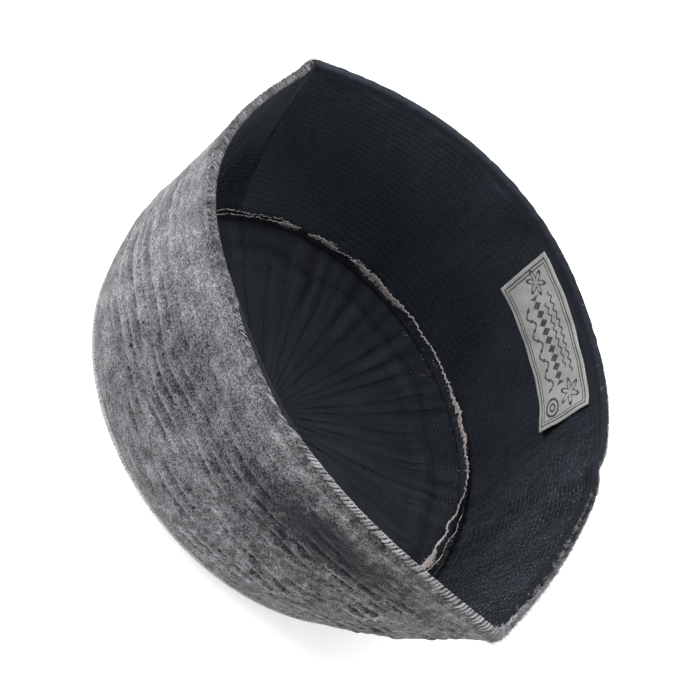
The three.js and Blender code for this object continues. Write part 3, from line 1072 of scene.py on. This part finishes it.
# raw seam edges
seam = {
    "cloth": (0.029, 0.036, 0.047, 1),
    "frayDark": (0.42, 0.375, 0.36, 1),
    "frayLight": (0.82, 0.76, 0.74, 1),
    "hairs": 700,
    "hairLength": (0.6, 1.9),
    "hairRadius": 0.11,
    "specks": 420,
    "speckAngles": (52, 122),
    "speckLength": (0.3, 0.7),
    "speckWidth": 0.26,
    "speckHeight": 0.1,
    "faint": (169, 173, 250, 300),  # degrees from +X where the fray is darker
    "meshed": (35, 38, 50, 58),  # and where the outer edge shows its weave
    "height": 6.5,
    "thick": 0.45,
    "apart": 0.2,
    "stations": 1200,
    # degrees from +X, lean of the outer edge, further lean of the inner one, width of the pale fray on the
    # outer and on the inner edge
    "table": [
        (0, 3.2, 1.0, 0.6, 1.0),
        (22, 2.9, 2.0, 0.5, 1.0),
        (33, 3.0, 2.2, 0.4, 1.6),
        (36.5, 3.2, 2.4, 0.4, 2.4),
        (40, 3.2, 2.4, 0.4, 1.6),
        (42, 3.2, 2.4, 0.5, 0.5),
        (45, 3.2, 2.5, 0.5, 0.5),
        (52, 2.8, 2.4, 0.4, 0.5),
        (60, 2.0, 1.2, 0.0, 0.6),
        (66, 1.5, 0.4, 0.0, 0.8),
        (75, 1.0, 0.2, 0.0, 1.0),
        (86, 0.6, 0.2, 0.0, 2.0),
        (93, 0.5, 0.2, 0.0, 2.1),
        (100, 0.5, 0.2, 0.0, 1.0),
        (107, 0.6, 0.2, 0.0, 0.5),
        (113, 0.7, 0.2, 0.0, 0.6),
        (123, 0.8, 0.2, 0.0, 0.8),
        (127, 0.7, 0.2, 0.0, 3.3),
        (139, 0.7, 0.2, 0.0, 3.5),
        (143, 1.0, 0.3, 0.4, 1.8),
        (146, 1.4, 0.3, 0.0, 0.4),
        (149, 1.4, 0.3, 0.0, 0.4),
        (151, 1.1, 0.2, 0.5, 3.1),
        (156, 1.1, 0.2, 0.0, 2.4),
        (158, 1.1, 0.2, 0.0, 3.2),
        (160, 1.6, 0.3, 0.0, 0.0),
        (163, 1.6, 0.5, 0.0, 0.0),
        (165, 1.4, 0.3, 0.2, 3.9),
        (169, 1.4, 0.4, 0.2, 2.6),
        (171, 1.5, 0.9, 0.1, 0.5),
        (176, 1.5, 1.0, 0.22, 0.6),
        (182, 1.2, 0.9, 0.22, 0.3),
        (190, 0.8, 1.0, 0.22, 0.5),
        (250, 1.6, 0.8, 0.4, 0.9),
        (310, 2.4, 0.8, 0.4, 0.9),
    ],
}


def seamColumn(degrees, column):
    # eased from each row of the table to the next round the turn
    angles = np.array([row[0] for row in seam["table"]] + [360.0])
    values = np.array([row[column] for row in seam["table"]] + [seam["table"][0][column]])
    turn = degrees % 360
    last = np.clip(np.searchsorted(angles, turn, side="right") - 1, 0, len(angles) - 2)
    share = smoothStep(0, 1, (turn - angles[last]) / (angles[last + 1] - angles[last]))
    return values[last] + (values[last + 1] - values[last]) * share


def rawEdgeMaterial():
    material, tree, shader = clothMaterial("rawSeamEdge", 0.9, sheen=0.03, specular=0.1)
    strand = noise(tree, objectPlace(tree), 900, detail=3, rough=0.7)
    ragged = stretch(tree, plus(tree, attribute(tree, "fray"), swing(tree, strand, 0.6)), 0.45, 0.6)
    pale = blend(tree, stretch(tree, strand, 0.3, 0.7), seam["frayDark"], seam["frayLight"])
    colour = blend(tree, ragged, seam["cloth"], pale)
    finishCloth(tree, shader, colour, [(strand, 0.00025)])
    return material


rawEdge = rawEdgeMaterial()


def seamEdge(inner, up, angle):
    # an upright strip against the wall's lining: it leans in with the power 1.5 of the height, its top is
    # ragged, and its radius shakes a little
    degrees = np.degrees(angle)
    turns = angle / (2 * np.pi)
    lean = seamColumn(degrees, 1) + inner * seamColumn(degrees, 2)
    ragged = 0.3 * ripples(turns, 0, 51 + inner, turns=(12, 70), climbs=0)
    ragged = ragged + 0.28 * ripples(turns, 0, 53 + inner, turns=(150, 420), climbs=0)
    height = seam["height"] - 0.2 - 0.5 * (1 - inner) * (seamColumn(degrees, 3) < 0.3) + ragged
    shake = 0.22 * ripples(turns, 0, 55 + inner, turns=(8, 40), climbs=0) * up
    foot = footInside - 2 * cap["gap"] - 0.1 - inner * (seam["thick"] + seam["apart"])
    radius = foot - (lean + 0.35) * up**1.5 + np.minimum(shake, 0.3 * up)
    base = crownRise(footInside) + cap["velvetThick"] + cap["liningThick"] + 2 * cap["gap"]
    return radius, base + height * up - 0.25 * lean * up**2


def makeSeamEdges():
    angle = 2 * np.pi * np.arange(seam["stations"])[:, None] / seam["stations"]
    degrees = np.degrees(angle)
    up = np.concatenate([np.linspace(0, 1, 12), np.linspace(1, 0, 12)])[None, :]
    inwards = np.repeat([0, seam["thick"]], 12)[None, :]
    for inner, name in ((0, "outerSeamEdge"), (1, "innerSeamEdge")):
        radius, height = seamEdge(inner, up, angle)
        radius = radius - inwards * (1 - 0.6 * up**4)
        width = seamColumn(degrees, 3 + inner)
        fromTop = (1 - up) * seam["height"]
        fray = np.clip(1 - fromTop / np.maximum(width, 0.02) * 0.5, 0, 1) * (width > 0.06)
        faint = between(degrees, seam["faint"])
        meshed = 0.37 * (1 - inner) * between(degrees, seam["meshed"]) * smoothStep(0.2, 0.5, up)
        fray = np.maximum(fray * (1 - 0.42 * np.maximum(faint, 1 - inner)), meshed)
        points = onCircle(radius, angle, height)
        addGrid(name, points, rawEdge, "raw_edge", "seam_allowance", attributes={"fray": fray})


def makeFrays():
    # loose thread ends that stand off the pale edge: short bent hairs along random directions
    rng = np.random.default_rng(57)
    angle = rng.uniform(0, 2 * np.pi, seam["hairs"])
    angle = angle[seamColumn(np.degrees(angle), 4) > 0.9]
    count = len(angle)
    radius, height = seamEdge(1, np.full(count, 0.97), angle)
    inward = onCircle(-1, angle, 0)
    along = onCircle(1, angle + np.pi / 2, 0)
    away = 0.5 * inward * rng.uniform(0.2, 1, (count, 1)) + along * rng.normal(0, 0.9, (count, 1))
    away[:, 2] += rng.uniform(-0.2, 0.5, count)
    length = rng.uniform(*seam["hairLength"], (count, 1))
    share = np.linspace(0, 1, 5)
    straight, sag = (unit(away) * length)[:, None], (0.35 * inward * length)[:, None]
    root = onCircle(radius, angle, height)[:, None]
    paths = root + straight * share[:, None] + sag * share[:, None] ** 2
    radii = seam["hairRadius"] * np.broadcast_to(1 - 0.6 * share, (count, 5))
    hairs, hairFaces = tubes(paths, np.broadcast_to([0.0, 0.0, 1.0], paths.shape), radii, sides=3)
    hairs = hairs.reshape(-1, 3)
    # specks of lint on the seam's inner face and on the border beside it
    number = seam["specks"]
    turn = np.radians(rng.uniform(*seam["speckAngles"], number))
    climbed = rng.uniform(0.2, 0.97, number)
    across, above = seamEdge(1, climbed, turn)
    across = across - seam["thick"] * (1 - 0.6 * climbed**4) - 0.02
    onBorder = rng.random(number) < 0.35
    across = np.where(onBorder, 77.6 - rng.gamma(1.3, 1.1, number), across)
    above = np.where(onBorder, crownLiningTop(across, turn) + 0.05, above)
    lie = unit(onCircle(1, turn + np.pi / 2, rng.normal(0, 0.5, number)))
    facing = onCircle(onBorder - 1.0, turn, onBorder)
    centre = onCircle(across, turn, above)
    length = rng.uniform(*seam["speckLength"], number)
    specks, speckFaces = smallStitches(centre, lie, facing, length, seam["speckWidth"], seam["speckHeight"])
    points = np.concatenate([hairs, specks.reshape(-1, 3)])
    faces = hairFaces + (np.array(speckFaces) + len(hairs)).tolist()
    fray = np.concatenate([np.ones(len(hairs)), np.repeat(rng.uniform(0.2, 0.62, number), 6)])
    addPiece("frayedEnds", points, faces, rawEdge, "raw_edge", "seam_allowance", attributes={"fray": fray})


makeSeamEdges()
makeFrays()

# the overcast rim
edging = {
    "inset": 0.15,
    "width": 3.3,
    "height": 3.75,
    "stations": 900,
    "loops": 352,
    "threadDark": (0.06, 0.059, 0.065, 1),
    "threadLight": (0.46, 0.452, 0.468, 1),
    "threadRadius": 0.48,
    "sunkRadius": 0.23,
    # places round the cap, and how far each loop runs on there from outside to inside, of the rim's length
    "slants": ((0.0, 0.28, 0.34, 0.41, 0.465, 0.51), (0.0045, 0.0050, 0.0058, 0.0058, 0.0060, 0.0045)),
    # places round the cap, and where on the section each loop comes out of the velvet, in half turns
    "loopStarts": ((0.30, 0.34, 0.42, 0.46, 0.50, 0.55), (0.06, 0.23, 0.20, 0.02, -0.04, 0.06)),
    "hook": 0.0005,
    "behind": (0.50, 0.52, 0.98, 0.995),  # where round the cap the loops end on the outside
    "bold": (0.315, 0.36, 0.50, 0.512),  # where round the cap the loops stand out, eased in and out
    "lipSeen": (0.232, 0.255, 0.315, 0.340),  # where the lining's folded edge shows beside the velvet
    # places round the cap, and how far the velvet reaches over the far rim's top
    "velvetOver": (
        (0.49, 0.505, 0.525, 0.56, 0.60, 0.65, 0.70, 0.72),
        (0.0, 0.36, 0.26, 0.15, 0.08, 0.07, 0.05, 0.0),
    ),
    "fuzz": 17000,
    "fuzzLength": (0.40, 1.05),
    "fuzzRadius": 0.10,
    "paleLine": (0.550, 0.572, 0.618, 0.632),  # a painted highlight: pale pile along the far fold
    "paleLineTurn": (0.50, 0.61),  # where on the section that line starts and ends, in half turns
    "lipThick": 0.16,
    "lipDrop": 5.0,
}


def rimFrame(around):
    middle = wallPoint(around, 1.0, 0.0)
    return middle, wallPoint(around, 1.0, 1.0) - middle


def beadPoint(around, turn, proud=0.0):
    # a section round the rim: turn 0 is outwards, a quarter turn is up; round above its middle, and below
    # it squarer and deeper, so that it stands flush in the velvet's top edge; its inner half is narrower
    middle, outward = rimFrame(around)
    wide = edging["width"] / 2 + proud
    high = edging["height"] / 2 + proud
    level, climb = np.cos(turn), np.sin(turn)
    above = climb > 0
    squareness = np.where(above, np.where(level > 0, 0.75, 0.5), np.where(level > 0, 0.12, 0.25))
    level = np.abs(level) ** squareness * np.where(level > 0, 1, -0.86)
    climb = np.where(above, np.abs(climb) ** 0.75, -1.3 * np.abs(climb) ** 0.5)
    point = middle + outward * (wide * level - edging["inset"])[..., None]
    point[..., 2] += 0.1 + edging["height"] / 2 + high * climb
    return point


def velvetOver(around):
    return np.interp(around, *edging["velvetOver"])


def makeBead():
    around = stationShares(edging["stations"])[:, None]
    turn = (2 * np.pi * np.arange(16) / 16 - 0.75 * np.pi)[None, :]
    a, t = np.broadcast_arrays(around, turn)
    bold = between(a, edging["bold"])
    lumpy = 0.10 * ripples(a, t / 7, 61, turns=(30, 140), climbs=3) - 0.08 * bold
    points = beadPoint(a, t, np.where(np.sin(t) > 0.1, np.clip(lumpy - 0.06, -0.3, 0.12), -0.03))
    # painted shade between the bold loops, painted light where the velvet reaches over the far rim and at
    # 0.40 to 0.52 round the cap, which lie in shade, and painted shade in the groove under the rim
    sunk = bold * (np.cos(t - 0.35 * np.pi) > -0.1)
    shade = bandNapAndPaintedLight(a, belowRim + 0 * a) - 0.02 - 0.08 * sunk + 1.3 * velvetOver(a)
    shade = shade + 0.14 * between(a, (0.40, 0.45, 0.50, 0.52))
    shade = shade - 0.42 * rimGrooveShade(a, belowRim + 0.03 * (np.sin(t) - 0.45))
    shade = shade + 0.05 * (smoothStep(0.30, 0.24, a) + ripples(a, t / 7, 62, turns=(20, 160), climbs=2))
    addGrid("rimBead", points, plainVelvet, "edging_thread", "rim_edging", attributes={"napAndPaintedLight": shade})


def threadMaterial():
    material, tree, shader = clothMaterial("overcastThread", 0.8, sheen=0.3, specular=0.2)
    place = objectPlace(tree)
    ply = noise(tree, place, 1900)
    worn = swing(tree, noise(tree, place, 120), 0.3, 0.35, 0.65)
    shade = stretch(tree, plus(tree, swing(tree, ply, 0.4), worn, attribute(tree, "pale")), 0, 1)
    colour = blend(tree, shade, edging["threadDark"], edging["threadLight"])
    finishCloth(tree, shader, colour, [(ply, 0.00015)])
    return material


overcastThread = threadMaterial()


def makeLoops():
    # each thread starts in the velvet, runs slantwise up over the bead and hooks on along the rim at its
    # inner end; where the loops don't stand out they are thin and half sunk in the pile
    rng = np.random.default_rng(63)
    count = edging["loops"]
    start = (np.arange(count) + rng.uniform(-0.24, 0.24, count)) / count
    bold = between(start, edging["bold"])[:, None]
    lip = between(start, edging["lipSeen"])[:, None]
    behind = between(start, edging["behind"])[:, None]
    share = np.linspace(0, 1, 11)[None, :]
    slant = np.interp(start, *edging["slants"])[:, None]
    around = start[:, None] + slant * (share - 0.5) + edging["hook"] * bold * share**3
    first = np.interp(start, *edging["loopStarts"])[:, None] + rng.uniform(-0.05, 0.05, (count, 1))
    last = 0.66 - 0.30 * lip * (1 - bold) - 0.48 * behind + 0.06 * bold
    turn = np.pi * (first + (last - first) * share)
    proud = (0.02 + 0.20 * bold) * np.sin(np.pi * (0.05 + 0.87 * share)) ** 0.7 - 0.08
    paths = beadPoint(around, turn, proud)
    ahead = beadPoint(around + 0.001, turn, proud) - paths
    sunk = edging["sunkRadius"] * (0.72 + 0.28 * smoothStep(0.22, 0.30, start))[:, None]
    thick = sunk + (edging["threadRadius"] - sunk) * bold
    radii = thick * rng.uniform(0.8, 1.15, (count, 1)) * np.sin(np.pi * (0.12 + 0.80 * share)) ** 0.4
    points, faces = tubes(paths, ahead, radii, sides=5)
    uneven = rng.normal(0, 0.22 - 0.13 * np.maximum(bold, behind), (count, 1))
    pale = 0.24 + bold * (0.36 * smoothStep(0.05, 0.5, share) - 0.04) + uneven
    pale = pale - 0.10 * smoothStep(0.30, 0.24, start)[:, None]
    pale = {"pale": np.repeat(pale.ravel(), 5)}
    slot, node = "edging_thread", "rim_edging"
    addPiece("overcastLoops", points, faces, overcastThread, slot, node, attributes=pale)


def makeLip():
    # the lining turned up over the bead's inner side: it follows the bead's section down to its middle,
    # then eases into the wall lining's face and ends just under it, so that no step shows
    around = stationShares(edging["stations"])[:, None]
    share = np.linspace(0, 1, 9)[None, :]
    near = between(around, (0, 0.02, 0.49, 0.51))
    seen = between(around, edging["lipSeen"])
    top = 0.26 + velvetOver(around) + 0.52 * near * (1 - seen) + 0.16 * near * seen
    top = top + 0.012 * ripples(around, 0, 66, turns=(40, 160), climbs=0)
    turn = np.pi * (top + (1.0 - top) * share)
    rolled = 0.06 * ripples(around + 0 * share, share, 67, turns=(30, 130), climbs=1)
    swollen = edging["lipThick"] * smoothStep(-0.3, 0.25, share)
    over = beadPoint(around + 0 * share, turn, swollen + np.clip(rolled, -0.1, 0.15))
    up = 1 - edging["lipDrop"] * share / wallHeight
    sink = 0.19 * smoothStep(1, 0, share) - 0.04 * smoothStep(0.6, 1, share)
    down = wallPoint(around, up, liningInner + liningRelief(around, up) - sink)
    overBack = beadPoint(around + 0 * share, turn, -0.25 + 0 * turn)
    downBack = wallPoint(around, up, liningInner + 0.35)
    face = liningShade(around, np.concatenate([1 + 0 * share, up], axis=1))
    # painted highlight on the lip's inner edge where it shows, darker around it; painted shade on the far
    # side
    crestHighlight = seen * np.exp(-(((turn / np.pi - 0.70) / 0.04) ** 2))
    face[:, :9] += 0.50 * crestHighlight - 0.14 * seen - 0.10 * (1 - near)
    row = np.concatenate([0 * turn - 0.5, liningRow(around, up)], axis=1)
    quilted = np.concatenate([0 * turn, quiltedStrength(around) + 0 * share], axis=1)
    alongs = np.append(around, 1) * rimLength
    drop = edging["lipDrop"]
    acrosses = np.concatenate([3.5 * share[0] - 3.6, drop * share[0], drop + np.arange(1, 20)])
    mirrored = {"shade": face, "row": row, "strong": quilted}
    addGrid(
        "liningLip",
        np.concatenate([over, down, downBack[:, ::-1], overBack[:, ::-1]], axis=1),
        wallCloth,
        "lining_cloth",
        "rim_edging",
        uv=gridUv(alongs, acrosses),
        attributes={key: np.concatenate([half, half[:, ::-1]], axis=1) for key, half in mirrored.items()},
    )


def makeFuzz():
    # short hairs of the velvet's pile that stand off the rim's outer shoulder, longer where it shows beyond
    # the far lining, and there painted lighter: painted light
    rng = np.random.default_rng(65)
    count = edging["fuzz"]
    around = rng.random(count)
    around[: count // 3] = 0.495 + 0.215 * rng.random(count // 3) ** 1.5
    ragged = np.clip(0.75 + 0.5 * ripples(around, 0, 68, turns=(30, 160), climbs=0), 0, 1)
    shown = smoothStep(0, 0.2, velvetOver(around)) * ragged
    bare = between(around, edging["lipSeen"])
    hidden = between(around, (0.70, 0.73, 0.98, 1.0))
    turn = rng.uniform(-0.4, 0.42 + 0.20 * shown - 0.1 * bare - 0.2 * hidden, count) * np.pi
    lined = between(around, edging["paleLine"])
    patchy = np.clip(0.5 + 0.6 * ripples(around, 0, 69, turns=(60, 300), climbs=0), 0.1, 1)
    worn = rng.random(count) < 0.5 * lined * patchy
    first, last = edging["paleLineTurn"]
    line = first + (last - first) * smoothStep(0.555, 0.59, around) + rng.normal(0, 0.045, count)
    turn = np.where(worn, line * np.pi, turn)
    away = rimFrame(around)[1] * np.cos(turn)[:, None]
    away[:, 2] += np.sin(turn)
    away = unit(away + rng.normal(0, 0.5, away.shape))
    length = rng.uniform(*edging["fuzzLength"], count) * (1 + 3.2 * shown * rng.random(count) ** 2.5)
    side = unit(np.cross(away, [0.3, 0.2, 1.0]))
    other = np.cross(away, side)
    # a three-sided foot and the tip
    corners = (side, -0.5 * side + 0.87 * other, -0.5 * side - 0.87 * other)
    tips = [edging["fuzzRadius"] * corner for corner in corners] + [away * length[:, None]]
    points = beadPoint(around, turn, -0.08)[:, None] + np.stack(tips, axis=1)
    faces = repeated([(0, 1, 3), (1, 2, 3), (2, 0, 3), (2, 1, 0)], count, 4)
    # painted light on the hairs beyond the far lining, which face away from the lamp
    tone = bandNapAndPaintedLight(around, 0.97 + 0 * around) + 0.08 + 0.85 * shown + rng.normal(0, 0.1, count)
    # hairs in the line lighter than the others there, which are darker: the fold's painted highlight
    tone += np.where(worn, rng.normal(0.0, 0.22, count), -0.22 * lined)
    shade = {"napAndPaintedLight": np.repeat(tone, 4)}
    addPiece("rimFuzz", points, faces, plainVelvet, "velvet", "rim_edging", attributes=shade)


makeBead()
makeLip()
makeLoops()
makeFuzz()

# the sewn label
label = {
    "around": 0.753,
    "length": 61.0,
    "height": 28.5,
    "below": 15.9,
    "tilt": 2.3,
    "thick": 0.5,
    "off": 0.45,
    "foldWidth": 2.4,
    "foldRise": 0.22,
    "curl": 1.2,
    "wave": 0.22,
    "fineWave": 0.12,
    "groundDark": (0.26, 0.262, 0.258, 1),
    "groundLight": (0.49, 0.488, 0.478, 1),
    "ink": (0.020, 0.025, 0.034, 1),
}


def labelPoint(along, across, outwards):
    # along and across the patch, turned by its tilt, then laid on the wall
    tilt = math.radians(label["tilt"])
    aside = along * math.cos(tilt) - across * math.sin(tilt)
    above = across * math.cos(tilt) + along * math.sin(tilt)
    up = 1 - (label["below"] - above) / wallHeight
    return wallPoint(label["around"] + aside / rimLength, up, outwards)


def labelMaterial():
    # a woven patch: a plain double border, a ring, wavy lines, rows of lozenges and two rosettes, all in
    # millimetres from its middle
    material, tree, shader = clothMaterial("labelWeave", 0.8, sheen=0.25, specular=0.2)
    u, v = (times(tree, part, 1000) for part in splitUp(tree, clothPlace(tree))[:2])

    def near(value, middle, half):
        return maths(tree, "COMPARE", value, middle, half)

    def size(value):
        return maths(tree, "ABSOLUTE", value)

    def away(x, y):
        return maths(tree, "SQRT", plus(tree, times(tree, x, x), times(tree, y, y)))

    def border(inset, width):
        left = minus(tree, size(u), label["length"] / 2 - inset)
        down = minus(tree, size(v), label["height"] / 2 - inset)
        return near(maths(tree, "MAXIMUM", left, down), 0.0, width / 2)

    def ring(x, y, radius, width):
        return near(away(minus(tree, u, x), minus(tree, v, y)), radius, width / 2)

    def wave(x, y, half, pitch, height, width):
        turn = times(tree, minus(tree, u, x), 2 * math.pi / pitch)
        line = maths(tree, "MULTIPLY_ADD", maths(tree, "SINE", turn), height, y)
        return times(tree, near(v, line, width / 2), near(u, x, half))

    def lozenges(x, y, half, pitch, height):
        along = times(tree, maths(tree, "PINGPONG", minus(tree, u, x), pitch / 2), 1.5)
        inside = maths(tree, "LESS_THAN", plus(tree, along, size(minus(tree, v, y))), height / 2)
        return times(tree, inside, near(u, x, half))

    def rosette(x, y, radius):
        right, above = minus(tree, u, x), minus(tree, v, y)
        turn = times(tree, maths(tree, "ARCTAN2", above, right), 6.0)
        petal = maths(tree, "MULTIPLY_ADD", maths(tree, "COSINE", turn), 0.32 * radius, 0.62 * radius)
        return near(away(right, above), petal, 0.7)

    marks = [
        border(1.7, 0.6),
        border(3.0, 0.45),
        ring(-23.0, -6.4, 3.4, 1.0),
        ring(-23.0, -6.4, 1.4, 0.8),
        wave(0.5, -6.3, 17.0, 8.0, 1.9, 1.0),
        lozenges(0.5, -6.3, 17.0, 4.0, 2.4),
        lozenges(2.0, -0.4, 17.5, 3.5, 5.0),
        wave(2.0, 4.2, 13.0, 3.2, 0.6, 0.8),
        wave(2.0, 7.4, 16.0, 3.2, 0.6, 0.8),
        rosette(-21.0, 4.4, 5.4),
        rosette(23.6, 3.6, 5.0),
    ]
    inked = marks[0]
    for mark in marks[1:]:
        inked = maths(tree, "MAXIMUM", inked, mark)
    place = objectPlace(tree)
    thread = noise(tree, place, 1700, rough=0.7)
    stain = noise(tree, place, 110, detail=3)
    worn = times(tree, inked, stretch(tree, thread, 0.25, 0.55, 0.45, 1.0))
    cloth = plus(tree, stretch(tree, thread, 0.3, 0.7, 0, 0.55), stretch(tree, stain, 0.3, 0.7, 0, 0.45))
    ground = blend(tree, cloth, label["groundDark"], label["groundLight"])
    colour = blend(tree, worn, ground, label["ink"])
    finishCloth(tree, shader, colour, [(thread, 0.00015), (stain, 0.0004)])
    return material


def makeLabel():
    # a thin patch: its two ends are folded under and stand a step proud, and its free lower edge curls off
    along = np.linspace(-0.5, 0.5, 123)[:, None] * label["length"]
    across = np.linspace(-0.5, 0.5, 59)[None, :] * label["height"]
    endward = label["length"] / 2 - np.abs(along)
    fold = label["foldRise"] * smoothStep(label["foldWidth"] + 0.5, label["foldWidth"] - 0.1, endward)
    wave = label["wave"] * np.sin(along / 5.2) * np.cos(across / 7.5 + 0.6)
    wave = wave + label["fineWave"] * np.sin(along / 2.1 + across / 3.0)
    corner = label["curl"] * smoothStep(14, 30, -along) * smoothStep(2, 14, -across)
    ragged = 0.2 * np.sin(across * 1.1 + 0.5) * np.ones_like(along)
    front = liningInner - label["off"] - label["thick"] - fold - np.clip(wave, -0.25, 0.4) - corner
    stretched = along * (1 + 0.006 * ragged)
    faceFront = labelPoint(stretched, across, front)
    faceBack = labelPoint(stretched, across, front + label["thick"] * 0.8)
    points = np.concatenate([faceBack, faceFront[:, ::-1]], axis=1)
    stations, steps = points.shape[:2]
    last = (stations - 1) * steps
    ends = []
    for level in range(steps // 2 - 1):
        end = np.array([level, level + 1, steps - 2 - level, steps - 1 - level])
        ends += [end.tolist(), (last + end[[1, 0, 3, 2]]).tolist()]
    uv = gridUv(along, np.concatenate([across[0], across[0][::-1], across[0][:1]])).reshape(-1, 2)
    endUv = np.tile([[0.03, 0.0138]], (4 * len(ends), 1))
    addPiece(
        "sewnLabel",
        points,
        gridFaces(stations, steps, closeAround=False).tolist() + ends,
        labelMaterial(),
        "label_cloth",
        "label",
        uv=np.concatenate([uv, endUv]),
    )


makeLabel()

# floor, light and camera
studio = {
    "floorShades": (0.96, 0.98),
    "floorGlow": 0.45,
    "worldStrength": 0.72,
    "keyPower": 24.0,
    "keyPlace": (-0.70, -1.25, 0.85),
    "keySize": 0.9,
    "topPower": 10.0,
    "topPlace": (0.1, 0.1, 1.5),
    "topSize": 1.4,
    "lampTarget": (0.0, 0.0, 0.04),
}


def makeFloor():
    mesh = bpy.data.meshes.new("paleFloor")
    corners = [(x, y, -0.0002) for x, y in ((-6, -6), (6, -6), (6, 6), (-6, 6))]
    mesh.from_pydata(corners, [], [(0, 1, 2, 3)])
    material = bpy.data.materials.new("palePaper")
    material.use_nodes = True
    tree = material.node_tree
    shader = tree.nodes["Principled BSDF"]
    shader.inputs["Roughness"].default_value = 0.9
    shader.inputs["Emission Color"].default_value = (1, 1, 1, 1)
    shader.inputs["Emission Strength"].default_value = studio["floorGlow"]
    mottle = noise(tree, objectPlace(tree), 3)
    low, high = ((shade, shade, shade, 1) for shade in studio["floorShades"])
    tree.links.new(blend(tree, mottle, low, high), shader.inputs["Base Color"])
    mesh.materials.append(material)
    floor = bpy.data.objects.new("paleFloor", mesh)
    bpy.context.scene.collection.objects.link(floor)


def addLamp(name, place, power, size):
    lamp = bpy.data.lights.new(name, "AREA")
    lamp.energy = power
    lamp.shape = "DISK"
    lamp.size = size
    holder = bpy.data.objects.new(name, lamp)
    bpy.context.scene.collection.objects.link(holder)
    x, y, z = np.array(place) - studio["lampTarget"]
    holder.location = place
    holder.rotation_euler = (math.atan2(math.hypot(x, y), z), 0, math.atan2(x, -y))


def makeStudio():
    world = bpy.data.worlds.new("softWorld")
    world.use_nodes = True
    background = world.node_tree.nodes["Background"]
    background.inputs["Color"].default_value = (1, 1, 1, 1)
    background.inputs["Strength"].default_value = studio["worldStrength"]
    bpy.context.scene.world = world
    addLamp("keyLamp", studio["keyPlace"], studio["keyPower"], studio["keySize"])
    addLamp("topLamp", studio["topPlace"], studio["topPower"], studio["topSize"])
    bpy.context.scene.view_settings.view_transform = "Standard"


view = {
    "azimuth": 30.674,
    "elevation": 41.434,
    "roll": 53.690,
    "distance": 1.18349,
    "target": (0.0, 0.0, 0.052),
    "focalPixels": 3446.1,
    "middlePixel": (361.86, 356.46),
    "imagePixels": 700,
}


def makeCamera():
    azimuth, elevation, roll = (math.radians(view[key]) for key in ("azimuth", "elevation", "roll"))
    outward = np.array([math.sin(azimuth), -math.cos(azimuth), 0])
    back = math.cos(elevation) * outward + math.sin(elevation) * np.array([0, 0, 1])
    level = np.array([math.cos(azimuth), math.sin(azimuth), 0])
    above = np.cross(back, level)
    right = math.cos(roll) * level + math.sin(roll) * above
    up = -math.sin(roll) * level + math.cos(roll) * above
    lens = bpy.data.cameras.new("camera")
    lens.sensor_width = 36
    lens.lens = view["focalPixels"] * 36 / view["imagePixels"]
    half = view["imagePixels"] / 2
    lens.shift_x = (half - view["middlePixel"][0]) / view["imagePixels"]
    lens.shift_y = (view["middlePixel"][1] - half) / view["imagePixels"]
    camera = bpy.data.objects.new("camera", lens)
    bpy.context.scene.collection.objects.link(camera)
    place = np.array(view["target"]) + back * view["distance"]
    columns = np.stack([right, up, back, place], axis=1)
    camera.matrix_world = Matrix([*columns.tolist(), [0, 0, 0, 1]])
    bpy.context.scene.camera = camera


makeFloor()
makeStudio()
makeCamera()
print("floor, lamps and camera placed")
